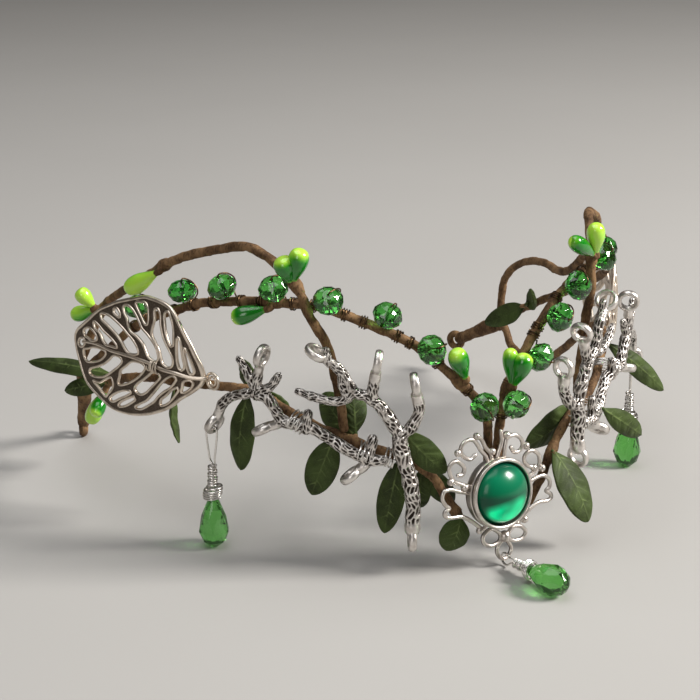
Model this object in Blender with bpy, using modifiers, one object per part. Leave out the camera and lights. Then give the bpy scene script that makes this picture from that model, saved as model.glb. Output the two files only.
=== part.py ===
"""Woodland diadem: taped wire vines, glass beads, cast twigs and leaves round a green cabochon."""

import math

import bmesh
import bpy
import numpy as np
from mathutils import Matrix, Vector

# Lengths are in mm and are turned into metres once, when a piece is finished.
MM = 0.001

# The head line is the plan curve that the wires follow. x is the wearer's side, -y the front.
# Its front half is a quarter ellipse each side, and its rear half a longer one.
HALF_WIDTH = 72.0
FRONT_Y = -70.0
FRONT_DEPTH = 88.0
REAR_DEPTH = 151.0
REAR_REACH = 85.0

# Moves the middle of the diadem's box to the origin, and its lowest point to the floor.
FRAME_SHIFT = (2.6, 15.6, -0.19)

WIRE_RADIUS = 1.3
GAP = 0.3

BEAD_RADIUS = 4.0
BEAD_HALF_HEIGHT = 3.0
BEAD_HOLE_RADIUS = 0.5
BEAD_SIDES = 10

ROD_START_RADIUS = 2.9
ROD_END_RADIUS = 2.1
EYELET_RADIUS = 2.4
EYELET_WIRE_RADIUS = 1.2

CASTING_OUT = 4.3
RING_RADIUS = 2.6
RING_REACH = 3.1
RING_WIRE_RADIUS = 0.75

SETTING_CENTRE = (-1.6, -74.4, 21.1)
SETTING_TURN_DEG = 6.0
SETTING_LEAN_DEG = 8.0
BEZEL_RADIUS = 9.7
BEZEL_FRONT = 2.8
BEZEL_BACK = -2.4
STONE_RADIUS = 8.4
FILIGREE_RADIUS = 0.7

DROP_WIRE_RADIUS = 0.35
NECK_PITCH = 1.25
WRAP_PITCH = 1.3
STONE_BELOW_LEG = 6.6

# Each wire is a row of (along the head line, height, out from it), left negative, front zero.
VINE_LEFT = (
    (-1.6, 11, 1.4), (-1.6, 20, 0.1), (-1.6, 29, -1.2), (-1.7, 35, -1.2), (-2.6, 40, -0.4),
    (-4.4, 44, 0), (-6.7, 47.5, 0), (-10.3, 51.2, 0), (-16.5, 57.2, 0), (-23.7, 63.2, 0),
    (-34.8, 68.4, 0), (-46.7, 72.2, 0), (-62.2, 72.2, 0), (-71.5, 71, 0), (-84, 68.4, 0),
    (-101, 61.7, 0), (-115, 55.5, 0), (-128, 48, 0.3), (-140, 40, 1.6),
)
VINE_RIGHT = (
    (1.6, 11, 1.3), (1.6, 20, 0.0), (1.6, 29, -1.3), (1.6, 35, -1.3), (1.6, 40, -0.4),
    (2, 45.3, 0), (3.4, 49.2, 0), (5.8, 53.6, 0), (8.7, 58.1, 0), (12.1, 62.5, 0),
    (15.7, 66.5, 0), (20, 70.3, 0), (28.9, 74.2, 0), (38.3, 75, 0), (48, 73.5, 0), (60, 70, 0),
    (75, 63.5, 0), (90, 57, 0), (104, 50.6, 0), (117, 44.6, 0), (127, 40, 0), (138, 34.2, 0),
    (147, 29, 0.6),
)
ARCH_LEFT = (
    (-41.6, 38.6, 0), (-42.7, 47, -0.3), (-44, 53, -0.7), (-45.6, 59.6, -0.9), (-47, 63.5, -0.3),
    (-48.4, 67, 1.4), (-49.8, 70.6, 3.1), (-51.4, 75, 3.3), (-53.2, 78.4, 3.1), (-56.5, 81.8, 2.8),
    (-62.5, 85.4, 2), (-69, 86.6, 1), (-79.6, 83.8, 0), (-91, 80, 0), (-100.4, 75.7, 0),
    (-111, 69.8, 0), (-126, 62.2, 0.3), (-140, 54.5, 1.4), (-149, 45.5, 2.8),
)
ARCH_RIGHT = (
    (33, 39.4, 0), (34.2, 45, -0.4), (36.2, 52, -0.4), (37.2, 60, -0.2), (36, 66.5, 1.2),
    (33, 71, 2.8), (31.8, 75.4, 3.2), (32.6, 81, 2.6), (35.2, 86.6, 0.6), (39.5, 89.4, -1.6),
    (46, 88.2, -2.8), (56, 84.5, -3), (68, 78.6, -3.2), (80, 71.4, -3.4), (90, 64.6, -3.6),
    (99, 59, -3.4), (108, 54.6, -3), (117, 52.6, -2), (126, 52.4, -0.8), (136.4, 50.5, 0),
    (146, 46, 0.4), (152.5, 39, 1),
)
LOWER_LEFT = (
    (-11, 14.5, 0.6), (-12.6, 17.2, 0.3), (-14.8, 20.8, 0), (-17.1, 24.8, 0), (-19.9, 28.1, 0),
    (-25.4, 31.6, 0), (-35.2, 34.6, 0), (-46.8, 38.4, 0), (-56.7, 42.3, 0), (-65, 45.8, 0),
    (-73, 46.3, 0), (-87, 44.6, 0), (-105, 41.5, 0), (-122, 37, 0.2), (-138, 31, 1.2),
    (-147, 28, 2.4),
)
LOWER_RIGHT = (
    (11, 13.5, 0.6), (12.6, 15.6, 0.4), (15.6, 18.5, 0.1), (19, 23.8, 0), (23.5, 30, 0),
    (29, 34.2, 0), (36, 35.8, 0.2), (45, 39.2, 0.4), (60, 43.8, 0), (74, 45.8, 0), (87, 43, 0),
    (101, 36, 0), (113, 27.5, 0), (123, 20.8, 0), (131, 17.4, 0), (140, 17, 0.3), (147, 18.2, 0.8),
)

# Each bead is (along the vine, lean in degrees): 0 stands up in the wall, 90 faces outwards.
BEADS_LEFT = (
    (-5.8, 92), (-20.9, 58), (-32.2, 12), (-45.8, 42), (-60.2, 22), (-75.4, 18), (-92.4, -12),
    (-115, 0),
)
BEADS_RIGHT = ((2.2, 104), (8.8, 124), (16.2, 92), (24.4, 68), (38.5, 50), (47.0, 10))

# Each twig is (radius, ring at its end, its points as on the wires). Out is added to CASTING_OUT.
ANTLER = (
    (2.15, True, ((-27.2, 40.5, 0), (-26.6, 35, 0), (-24.9, 29, 0), (-23.6, 20, 0), (-23.7, 13, 0))),
    (1.64, True, ((-27.2, 39, 0), (-24, 42.3, 0), (-22.4, 46.6, 0), (-23, 50.6, 0))),
    (1.81, False, ((-27.2, 39.5, 0), (-30, 45, 0), (-32.7, 48.5, 0), (-35, 50.2, 0))),
    (1.53, True, ((-34.2, 49, 0), (-33.5, 53.5, 0), (-33, 56.7, 0))),
    (1.47, True, ((-33.5, 50.4, 0), (-37.9, 51.2, 0), (-40.4, 55, 0), (-42.5, 57.8, 0),
                 (-45.3, 59.7, 0))),
    (1.24, False, ((-44.6, 58.6, 0), (-45.3, 62.3, 0))),
    (1.24, False, ((-38.3, 51.6, 0), (-39.9, 49.4, 0), (-43.2, 48.4, 0), (-48.4, 49.1, 0),
                  (-52.6, 50.2, 0))),
    (1.13, False, ((-41.6, 56.6, 0), (-41.2, 52.6, 0), (-40.0, 49.2, 0))),
)
BRANCH = (
    (1.47, True, ((-64.5, 48.2, 0), (-66.6, 47.5, 0), (-71.6, 45.6, 0), (-74.6, 43, 0),
                 (-76.3, 39.4, 0))),
    (1.41, True, ((-64.2, 47, 0), (-63.8, 52.4, 0), (-63.1, 55.6, 0))),
    (1.3, False, ((-64.4, 48, 0), (-66.4, 52.5, 0), (-69.2, 56.6, 0))),
    (1.3, False, ((-64.6, 48.6, 0), (-60.4, 50.2, 0), (-57.8, 53.9, 0))),
    (1.64, False, ((-65, 48, 0), (-61.3, 47.2, 0), (-59, 44.4, 0), (-56.8, 41.2, 0),
                   (-53, 41, 0), (-49.3, 40, -0.8), (-45.9, 38.2, -1.1), (-42, 36, -0.8),
                   (-37.9, 34.1, 0), (-34.4, 32.6, 0), (-30.4, 32.6, 0))),
    (1.36, True, ((-56, 41.4, 0), (-59.6, 39.6, 0))),
    (1.53, False, ((-50.6, 39.6, 0), (-50, 44.3, 0))),
    (1.58, False, ((-34.5, 32.4, 0), (-33.7, 38.4, 0))),
    (1.47, True, ((-34, 32.4, 0), (-36.8, 30, 0))),
)
# The right antler is the same casting with a shorter foot.
ANTLER_SHORT = (
    (2.15, True, ((-27.2, 40.5, 0), (-26.6, 35, 0), (-25.4, 31, 0), (-25, 27.5, 0))),
) + ANTLER[1:]
# How the castings stand on a side: flip, where they start to stand further out and how fast,
# lean to the front about the pivot in degrees, and the pivot's shift (back, up).
LEFT_SIDE = (1, 0.0, 0.0, 0.0, (0.0, 0.0))
RIGHT_SIDE = (-1, 50.0, 0.2, 0.0, (0.0, 0.0))
RIGHT_ANTLER_SIDE = (-1, 50.0, 0.2, 14.0, (-1.4, -0.6))
CASTING_PIVOT = (-27.2, 40.5)

# Filigree bars of the setting, in its own plane: across, up. Each starts or ends in its cup.
BARS = (
    # upper left scroll, left scroll
    ((-2.8, 9.0), (-3.3, 10.6), (-4.6, 12.3), (-5.7, 14.2), (-6.9, 15.7), (-8.7, 16.1),
     (-10.6, 15.2), (-11.2, 13.5), (-10.2, 11.8), (-8.3, 10.8), (-6.7, 11.6)),
    ((-8.7, 3.4), (-10.2, 4.0), (-12.1, 4.8), (-14.1, 6.1), (-15.1, 8.2), (-15.1, 10.2),
     (-13.2, 11.3), (-11.4, 10.2), (-10.4, 8.6), (-11.2, 7.2), (-12.5, 7.3)),
    # upper right scroll, right scroll
    ((2.6, 8.6), (2.9, 10.2), (3.3, 12.1), (4.1, 14.0), (6.4, 14.5), (8.6, 13.1), (9.1, 11.1),
     (7.9, 9.8), (6.2, 9.8), (5.2, 11.3)),
    ((8.5, 1.7), (10.8, 2.3), (13.0, 3.4), (14.4, 4.9), (14.2, 7.4), (12.0, 9.1), (9.8, 8.3),
     (9.4, 6.5), (10.6, 5.0), (11.7, 4.6)),
    # the two bars of the V between the upper scrolls
    ((-5.9, 16.6), (-4.3, 15.4), (-3.2, 13.1), (-1.8, 11.2), (-1.2, 8.8)),
    ((2.1, 16.4), (2.2, 14.0), (1.4, 11.9), (0.5, 9.9), (0.3, 8.7)),
    # left lobe, right lobe
    ((-8.9, 1.5), (-10.2, 2.0), (-12.5, 2.8), (-15.1, 3.9), (-17.3, 3.8), (-18.0, 2.0),
     (-17.0, -0.1), (-16.0, -1.0), (-17.4, -1.7), (-17.4, -2.9), (-15.7, -3.7), (-12.1, -4.2),
     (-9.0, -6.2), (-5.6, -9.1), (-4.4, -8.2)),
    ((8.9, 0.3), (11.4, 0.9), (13.5, 1.4), (15.8, 1.3), (17.4, -0.4), (17.3, -2.2),
     (16.1, -3.2), (17.5, -4.3), (17.6, -5.5), (16.0, -6.0), (13.6, -5.7), (10.8, -6.6),
     (7.9, -8.5), (5.9, -9.9), (4.8, -8.4)),
)
LOOPS = (
    # closed loops: across, up
    ((-0.1, -11.8), (-2.8, -9.7), (-5.6, -11.0), (-5.5, -13.0), (-3.3, -14.3), (-0.5, -13.7)),
    ((2.3, -12.3), (4.2, -10.6), (6.8, -11.1), (8.3, -12.9), (7.2, -14.4), (4.8, -14.6),
     (2.6, -13.6)),
    ((1.4, -13.4), (-0.7, -14.6), (-1.4, -16.4), (-0.5, -18.2), (1.0, -18.9), (2.5, -18.2),
     (3.4, -16.5), (2.6, -14.7)),
)
LOWEST_LOOP = (1.0, -18.9)
BALLS = (
    # across, up, radius
    (-5.9, 16.6, 1.0), (-12.2, 13.3, 1.0), (-15.1, 6.0, 1.0), (3.9, 15.0, 1.1),
    (10.1, 10.8, 1.1), (15.0, 3.6, 1.1), (-6.8, -9.2, 1.0), (8.2, -9.4, 1.1),
    (1.3, -12.6, 1.6), (-1.1, 11.5, 1.0), (-10.7, 3.6, 1.1), (12.3, 4.2, 1.0),
)

# Skeleton leaf pendant in its own plane: from the ring towards the tip, up.
LEAF_OUTLINE = (
    (3.2, 1.6), (5.6, 8.0), (9, 15), (16.6, 20), (26.8, 19.2), (37.4, 15.6), (46.3, 9.4),
    (54.4, 3), (53.4, -1.6), (52, -5.5), (49, -11.7), (41.5, -15.6), (31, -16.6), (22.4, -14.6),
    (12.8, -9.2), (6.6, -3.9), (3.2, -0.4),
)
LEAF_OPENINGS = (
    # first end, other end, width
    (11.0, 9.8, 7.4, 3.2, 1.6), (13.0, 11.4, 11.6, 3.2, 1.5), (15.8, 17.2, 14.0, 11.0, 2.2),
    (19.6, 17.8, 21.4, 12.4, 1.6), (21.2, 10.2, 15.4, 2.6, 4.6), (27.8, 16.8, 24.6, 11.4, 2.0),
    (32.6, 15.2, 25.6, 5.2, 2.8), (37.4, 13.6, 35.2, 11.4, 1.8), (43.4, 10.2, 30.6, 4.0, 2.8),
    (47.0, 7.0, 38.8, 3.9, 2.0), (50.6, 4.6, 46.6, 3.9, 1.8), (50.8, -2.4, 42.2, 0.2, 3.4),
    (49.6, -7.2, 37.0, -0.6, 2.8), (37.0, -6.6, 26.6, -0.2, 3.8), (47.8, -10.6, 42.8, -9.6, 2.0),
    (41.6, -13.6, 35.4, -9.6, 1.9), (36.6, -14.4, 30.0, -10.8, 1.5),
    (30.4, -8.4, 19.6, -1.6, 3.8), (28.6, -14.0, 14.6, -2.6, 2.1),
    (20.2, -11.2, 13.2, -4.6, 1.8), (12.4, -6.0, 8.2, -1.8, 1.8), (52.6, 0.9, 51.4, 0.6, 1.1),
)
LEAF_SPINE = (
    (2.6, 0.6), (7.5, 0.4), (13.5, 0.6), (19.5, 0.9), (24.5, 1.9), (31, 1.4), (37, 1.6),
    (44, 2.2), (50, 2.4),
)
LEAF_THICKNESS = 1.0
LEAF_DOME = 4.2
LEAF_NECK_BACK = 4.2
LEAF_RING_BACK = 2.0
LEAF_OUT = 4.3
LEAF_TURN_DEG = 22.0

# Fabric leaves: the wire each is tied to, a point beside it there on the side that the leaf is
# on, its tip, as on the wires, its width and its roll about its own axis. The two that are tied
# to a casting start at their point itself.
LEAVES = {
    "leaf_low_front_left": ("lower_wire_left", (-11, 14.6, 3), (-14.6, 5.4, 3.6), 8.0, 0),
    "leaf_front_left": ("antler_casting_left", (-26, 39.4, 1.0), (-15.6, 28.5, 4.6), 7.0, 0),
    "leaf_hang_centre_left": ("lower_wire_left", (-27.4, 29, -2), (-30.9, 9.4, -0.4), 7.0, 10),
    "leaf_hang_middle_left": ("lower_wire_left", (-45, 35, -2), (-50.8, 19.2, 0), 9.2, 0),
    "leaf_hang_side_left": ("lower_wire_left", (-70.2, 43, -2), (-73, 22.4, 0), 7.4, 0),
    "leaf_hang_rear_left": ("lower_wire_left", (-97.6, 40, -1), (-97, 24.6, 0.6), 6.0, 50),
    "leaf_rear_upper_left": ("lower_wire_left", (-134, 36, 5), (-158, 33.7, 22), 5.0, 50),
    "leaf_rear_lower_left": ("lower_wire_left", (-138, 30, 6), (-147, 26.6, 14), 5.2, 0),
    "leaf_front_right": ("lower_wire_right", (33, 35.8, -4), (15.2, 27.8, -4.2), 9.2, 0),
    "leaf_long_right": ("lower_wire_right", (19, 27, 2.5), (21.8, 8.7, 13), 9.4, 0),
    "leaf_side_right": ("branch_casting_right", (36.8, 34.9, 6.4), (52, 21.9, 14), 6.0, 20),
    "leaf_upper_side_right": ("lower_wire_right", (66, 43, 3), (75, 26.5, 20), 6.0, 30),
}
SPRIGS = {
    "sprig_side_left": (
        ("lower_wire_left", (-66, 47, -4), (-77.6, 51.4, -6), 5.6, 0),
        ("lower_wire_left", (-66, 47, -4), (-59.6, 40.6, -4.6), 5.0, 0),
    ),
    "sprig_middle_left": (
        ("lower_wire_left", (-38.6, 37.6, -4), (-50.6, 45.6, -8), 8.4, 0),
        ("lower_wire_left", (-38.6, 37.6, -4), (-41.4, 48.6, -9), 6.6, 20),
    ),
    "sprig_front_left": (
        ("lower_wire_left", (-20.6, 28, -4), (-10.5, 15.5, -4), 6.0, 0),
        ("lower_wire_left", (-20.6, 28, -4), (-20.5, 14.5, -5), 5.4, 20),
    ),
    "sprig_rear_right": (
        ("vine_wire_right", (135, 36, -5), (121, 44, -7.5), 6.4, 0),
        ("vine_wire_right", (135, 36, -5), (150, 26.6, -7.5), 6.6, 0),
    ),
}
LEAF_SHARES = (
    # part of the length, part of the width
    (0.0, 0.12), (0.16, 0.6), (0.4, 1.0), (0.66, 0.92), (0.88, 0.46), (1.0, 0.08),
)
LEAF_BLADE = 0.7
STEM_RADIUS = 0.7

# Buds: the wire each is tied to, a point beside it there on the side that the bud is on, its
# tip, as on the wires, and its radius. Each row is one tied bunch.
BUDS = {
    "buds_arch_left": (
        ("arch_wire_left", (-53.4, 79.6, 7), (-55.3, 87, 7.6), 2.8),
        ("arch_wire_left", (-53.4, 79.6, 7), (-50.9, 89.2, 6), 2.7),
    ),
    "bud_vine_left": (("vine_wire_left", (-61, 70.6, 3), (-70.3, 68, 5.6), 2.5),),
    "bud_arch_rear_left": (("arch_wire_left", (-99.5, 73, 4), (-110, 67.4, 6.6), 2.7),),
    "buds_rear_upper_left": (
        ("arch_wire_left", (-143, 52.6, 6), (-145, 58.2, 8.6), 2.4),
        ("arch_wire_left", (-143, 52.6, 6), (-149.5, 49, 9.4), 2.4),
    ),
    "buds_rear_lower_left": (
        ("lower_wire_left", (-141, 26, 3), (-137.6, 20.6, 7.4), 2.3),
        ("lower_wire_left", (-141, 26, 3), (-147, 15.2, 6.4), 2.6),
    ),
    "bud_front_left": (("vine_wire_left", (-9.6, 52.8, 1.6), (-13.6, 62.3, 4), 2.7),),
    "buds_front_right": (
        ("vine_wire_right", (3.2, 48.9, 3), (2.2, 60.3, 2.2), 2.2),
        ("vine_wire_right", (3.2, 48.9, 3), (4.9, 59.1, 5.6), 2.7),
    ),
    "buds_arch_right": (
        ("arch_wire_right", (30.6, 80.6, 6), (28.3, 90, 6), 2.5),
        ("arch_wire_right", (30.6, 80.6, 6), (20.6, 86.9, 4), 2.3),
    ),
}

BUD_PROFILE = ((0.0, 1.0), (0.78, 0.92), (1.0, 0.68), (0.55, 0.28))  # part of radius, of length

# Free wire length of a drop, from what it hangs on down to its wraps.
SIDE_DROP_LEG = 12.1
CENTRE_DROP_LEG = 3.6
# Inner reach of its loop: half the width beside what it hangs on, and the height above it.
SIDE_DROP_LOOP = (1.9, 1.85)
CENTRE_DROP_LOOP = (1.6, 1.5)
STONE_PROFILE = (
    # distance below the stone's top, radius
    (0.0, 0.9), (3.4, 2.3), (8.4, 3.9), (11.4, 4.2), (14.0, 3.1), (15.4, 1.4),
)


def head_line():
    """Lengths along the head line's right half, and the plan point and direction at each."""
    turn = np.linspace(0, math.pi / 2, 600)
    front = np.stack(
        [HALF_WIDTH * np.sin(turn), FRONT_Y + FRONT_DEPTH * (1 - np.cos(turn))], axis=1
    )
    widest = FRONT_Y + FRONT_DEPTH
    turn = np.linspace(0, math.asin((REAR_REACH - widest) / REAR_DEPTH), 600)[1:]
    rear = np.stack([HALF_WIDTH * np.cos(turn), widest + REAR_DEPTH * np.sin(turn)], axis=1)
    points = np.concatenate([front, rear])
    lengths = np.concatenate([[0], np.cumsum(np.hypot(*np.diff(points, axis=0).T))])
    ways = np.gradient(points, axis=0)
    ways /= np.linalg.norm(ways, axis=1)[:, None]
    return lengths, points, ways


LENGTHS, LINE, WAYS = head_line()


def side_of(along):
    return -1.0 if along < 0 else 1.0


def outward(along):
    """Unit vector out of the wall of the diadem at this place."""
    way = [np.interp(abs(along), LENGTHS, WAYS[:, k]) for k in (0, 1)]
    return Vector((side_of(along) * way[1], -way[0], 0)).normalized()


def place(along, height, out=0.0):
    """Point in mm at this length along the head line, this height and this far outside it."""
    x, y = (np.interp(abs(along), LENGTHS, LINE[:, k]) for k in (0, 1))
    return Vector((side_of(along) * x, y, height)) + outward(along) * out


def smooth(points, step, closed=False):
    """A smooth curve through the points, as points about a step apart."""
    points = [Vector(p) for p in points]
    count = len(points)
    spans = count if closed else count - 1
    result = []
    for i in range(spans):
        if closed:
            a, b, c, d = (points[(i + k) % count] for k in (-1, 0, 1, 2))
        else:
            b, c = points[i], points[i + 1]
            a = points[i - 1] if i else b * 2 - c
            d = points[i + 2] if i + 2 < count else c * 2 - b
        pieces = max(1, round((c - b).length / step))
        before, after = (c - a) * 0.5, (d - b) * 0.5
        scale = (c - b).length
        before = before.normalized() * min(before.length, scale)
        after = after.normalized() * min(after.length, scale)
        for k in range(pieces):
            t = k / pieces
            result.append(
                b * (2 * t**3 - 3 * t**2 + 1)
                + before * (t**3 - 2 * t**2 + t)
                + c * (3 * t**2 - 2 * t**3)
                + after * (t**3 - t**2)
            )
    if not closed:
        result.append(points[-1])
    return result


def link(mesh):
    obj = bpy.data.objects.new(mesh.name, mesh)
    bpy.context.scene.collection.objects.link(obj)
    return obj


def shape(name, made):
    """A new object from an edit mesh, which it frees."""
    mesh = bpy.data.meshes.new(name)
    made.to_mesh(mesh)
    made.free()
    return link(mesh)


def drop_object(obj):
    data = obj.data
    bpy.data.objects.remove(obj)
    if isinstance(data, bpy.types.Mesh):
        bpy.data.meshes.remove(data)
    else:
        bpy.data.curves.remove(data)


def as_mesh(obj):
    """The object as a plain mesh object with its modifiers applied."""
    bpy.context.view_layer.update()
    graph = bpy.context.evaluated_depsgraph_get()
    mesh = bpy.data.meshes.new_from_object(obj.evaluated_get(graph))
    cleaned = bmesh.new()
    cleaned.from_mesh(mesh)
    bmesh.ops.remove_doubles(cleaned, verts=cleaned.verts, dist=0.001)
    bmesh.ops.recalc_face_normals(cleaned, faces=cleaned.faces)
    cleaned.to_mesh(mesh)
    cleaned.free()
    made = bpy.data.objects.new(obj.name, mesh)
    drop_object(obj)
    bpy.context.scene.collection.objects.link(made)
    return made


def tube(points, radii, sides=6, closed=False):
    """A round wire through the points. radii is one radius or one for each point."""
    points = list(points)
    if isinstance(radii, (int, float)):
        radii = [radii] * len(points)
    curve = bpy.data.curves.new("tube", "CURVE")
    curve.dimensions = "3D"
    curve.bevel_depth = 1.0
    curve.bevel_resolution = sides // 2 - 2
    curve.use_fill_caps = not closed
    spline = curve.splines.new("POLY")
    spline.points.add(len(points) - 1)
    spline.use_cyclic_u = closed
    for point, position, radius in zip(spline.points, points, radii):
        point.co = (*position, 1.0)
        point.radius = radius
    obj = bpy.data.objects.new("tube", curve)
    bpy.context.scene.collection.objects.link(obj)
    return as_mesh(obj)


def join_by(base, others, operation):
    """The base with the others united to it or cut from it, as one plain mesh."""
    for other in others:
        modifier = base.modifiers.new("join", "BOOLEAN")
        modifier.operation = operation
        modifier.solver = "EXACT"
        modifier.object = other
    joined = as_mesh(base)
    for other in others:
        drop_object(other)
    return joined


def union(parts):
    """The parts, which overlap, as one body."""
    return join_by(parts[0], parts[1:], "UNION")


def turned(profile, steps):
    """A body turned about z from (radius, height) points, which run down its outer side."""
    mesh = bpy.data.meshes.new("turned")
    points = [(radius, 0, height) for radius, height in profile]
    mesh.from_pydata(points, [(k, k + 1) for k in range(len(points) - 1)], [])
    obj = link(mesh)
    screw = obj.modifiers.new("turn", "SCREW")
    screw.axis = "Z"
    screw.angle = 2 * math.pi
    screw.steps = steps
    screw.render_steps = steps
    screw.use_merge_vertices = True
    screw.merge_threshold = 0.0001
    return as_mesh(obj)


def faceted(rings, sides):
    """A cut stone: the hull of rings of corners, every other ring turned by half a side."""
    made = bmesh.new()
    for k, (radius, height) in enumerate(rings):
        for i in range(sides):
            turn = 2 * math.pi * (i + 0.5 * (k % 2)) / sides
            made.verts.new((radius * math.cos(turn), radius * math.sin(turn), height))
    bmesh.ops.convex_hull(made, input=list(made.verts))
    return shape("faceted", made)


def ring(radius, wire_radius, segments, sides):
    bpy.ops.mesh.primitive_torus_add(
        major_radius=radius, minor_radius=wire_radius, major_segments=segments, minor_segments=sides
    )
    return bpy.context.object


def move(obj, matrix):
    obj.data.transform(matrix)
    return obj


def stand(position, axis, across=None):
    """Matrix that puts a body made about z at a position, with its z along the axis."""
    z = Vector(axis).normalized()
    across = Vector(across) if across else Vector((0.31, 0.17, 0.93))
    if abs(across.normalized().dot(z)) > 0.98:
        across = Vector((0.9, 0.1, 0.2))
    y = z.cross(across).normalized()
    x = y.cross(z)
    return Matrix.Translation(Vector(position)) @ Matrix((x, y, z)).transposed().to_4x4()


def seat(wire, near, half_thickness):
    """Start of a piece tied to a wire: a small gap off its surface, on the side of a point."""
    near, best = place(*near), None
    for a, b in zip(wire, wire[1:]):
        share = max(0.0, min(1.0, (near - a).dot(b - a) / (b - a).length_squared))
        point = a.lerp(b, share)
        if best is None or (point - near).length < (best - near).length:
            best = point
    return best + (near - best).normalized() * (0.9 * WIRE_RADIUS + GAP + half_thickness)


MATERIALS = {
    # name: colour, roughness, metallic
    "tape": ((0.16, 0.09, 0.045), 0.7, 0.0),
    "silver": ((0.66, 0.65, 0.62), 0.32, 1.0),
    "bead glass": ((0.02, 0.34, 0.05), 0.08, 0.0),
    "cabochon glass": ((0.0, 0.22, 0.09), 0.06, 0.0),
    "drop glass": ((0.04, 0.38, 0.08), 0.08, 0.0),
    "bud lacquer": ((0.16, 0.5, 0.03), 0.25, 0.0),
    "leaf fabric": ((0.035, 0.075, 0.02), 0.6, 0.0),
}


def finish(name, obj, material, frame, is_smooth=True):
    """Turns a body made about its own frame into a named piece, placed there, in metres."""
    obj.name = name
    obj.data.name = name
    obj.data.transform(Matrix.Scale(MM, 4))
    obj.data.shade_smooth() if is_smooth else obj.data.shade_flat()
    colour, roughness, metallic = MATERIALS[material]
    made = bpy.data.materials.new(f"{name} {material}")
    made.use_nodes = True
    shader = made.node_tree.nodes["Principled BSDF"]
    shader.inputs["Base Color"].default_value = (*colour, 1)
    shader.inputs["Roughness"].default_value = roughness
    shader.inputs["Metallic"].default_value = metallic
    obj.data.materials.clear()
    obj.data.materials.append(made)
    for collection in list(obj.users_collection):
        collection.objects.unlink(obj)
    bpy.data.collections["diadem"].objects.link(obj)
    obj.parent = bpy.data.objects["diadem_frame"]
    placed = frame.copy()
    placed.translation = frame.translation * MM
    obj.matrix_world = placed
    return obj


def finish_at(name, obj, material, origin):
    """Finishes a body that was made in place, with its origin at a point of its own."""
    frame = Matrix.Translation(origin)
    return finish(name, move(obj, frame.inverted()), material, frame)


class Rod:
    """The taped rod at one rear end: three wires end at its start, and it ends in an eyelet."""

    def __init__(self, start, eyelet, flat_way):
        self.start = Vector(start)
        self.eyelet = Vector(eyelet)
        self.way = (self.eyelet - self.start).normalized()
        self.flat_way = Vector(flat_way)
        self.across = self.way.cross(self.flat_way).normalized()
        self.up = self.across.cross(self.way).normalized()

    def wire_end(self, angle_deg):
        """Last two points of a wire that ends just before the rod, on a ring round its axis."""
        angle = math.radians(angle_deg)
        beside = (self.across * math.cos(angle) + self.up * math.sin(angle)) * 1.78
        end = self.start + beside - self.way * GAP
        return [end - self.way * 3.5 + beside * 0.25, end]

    def body(self):
        end = self.eyelet - self.way * (EYELET_RADIUS + 0.2)
        points = smooth([self.start, self.start.lerp(end, 0.5), end], 3.0)
        last = len(points) - 1
        radii = [
            ROD_START_RADIUS + (ROD_END_RADIUS - ROD_START_RADIUS) * min(1, 1.6 * k / last)
            for k in range(last + 1)
        ]
        rod = tube(points, radii)
        eyelet = ring(EYELET_RADIUS, EYELET_WIRE_RADIUS, 12, 6)
        move(eyelet, stand(self.eyelet, self.flat_way))
        return union([rod, eyelet])


ROD_LEFT = Rod((-76.0, 47.0, 29.6), (-71.2, 67.0, 3.75), (0.895, -0.446, 0))
ROD_RIGHT = Rod((71.6, 48.0, 23.5), (67.2, 68.0, 12.2), (0.895, 0.446, 0))


def wire_points(rows, rod=None, angle=0):
    points = [place(*row) for row in rows]
    if rod:
        points += rod.wire_end(angle)
    return smooth(points, 9.0)


def build_wires():
    """Makes the six wires and the two rods. Returns each wire's points by its name."""
    rows = (
        ("vine_wire_left", VINE_LEFT, ROD_LEFT, 90),
        ("arch_wire_left", ARCH_LEFT, ROD_LEFT, 200),
        ("lower_wire_left", LOWER_LEFT, ROD_LEFT, 340),
        ("vine_wire_right", VINE_RIGHT, ROD_RIGHT, 90),
        ("arch_wire_right", ARCH_RIGHT, ROD_RIGHT, 200),
        ("lower_wire_right", LOWER_RIGHT, ROD_RIGHT, 340),
    )
    made = {}
    for name, table, rod, angle in rows:
        made[name] = wire_points(table, rod, angle)
        finish_at(name, tube(made[name], WIRE_RADIUS), "tape", made[name][0])
    finish_at("end_loop_left", ROD_LEFT.body(), "tape", ROD_LEFT.eyelet)
    finish_at("end_loop_right", ROD_RIGHT.body(), "tape", ROD_RIGHT.eyelet)
    return made


def bead_body():
    """A faceted round bead with its hole along z."""
    half, girdle = BEAD_HALF_HEIGHT, BEAD_RADIUS
    rings = [(2.4, half), (girdle, 0.25 * half), (girdle, -0.25 * half), (2.4, -half)]
    drill = bmesh.new()
    bmesh.ops.create_cone(
        drill, cap_ends=True, segments=6, radius1=BEAD_HOLE_RADIUS, radius2=BEAD_HOLE_RADIUS,
        depth=3 * half,
    )
    return join_by(faceted(rings, BEAD_SIDES), [shape("drill", drill)], "DIFFERENCE")


def on_wire(table, along):
    """Point and direction of a wire at this length along the head line."""
    rows = sorted(row for row in table if row[1] > 40)
    lengths = [row[0] for row in rows]

    def at(where):
        height = np.interp(where, lengths, [row[1] for row in rows])
        out = np.interp(where, lengths, [row[2] for row in rows])
        return place(where, height, out)

    return at(along), (at(along + 1.5) - at(along - 1.5)).normalized()


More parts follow.
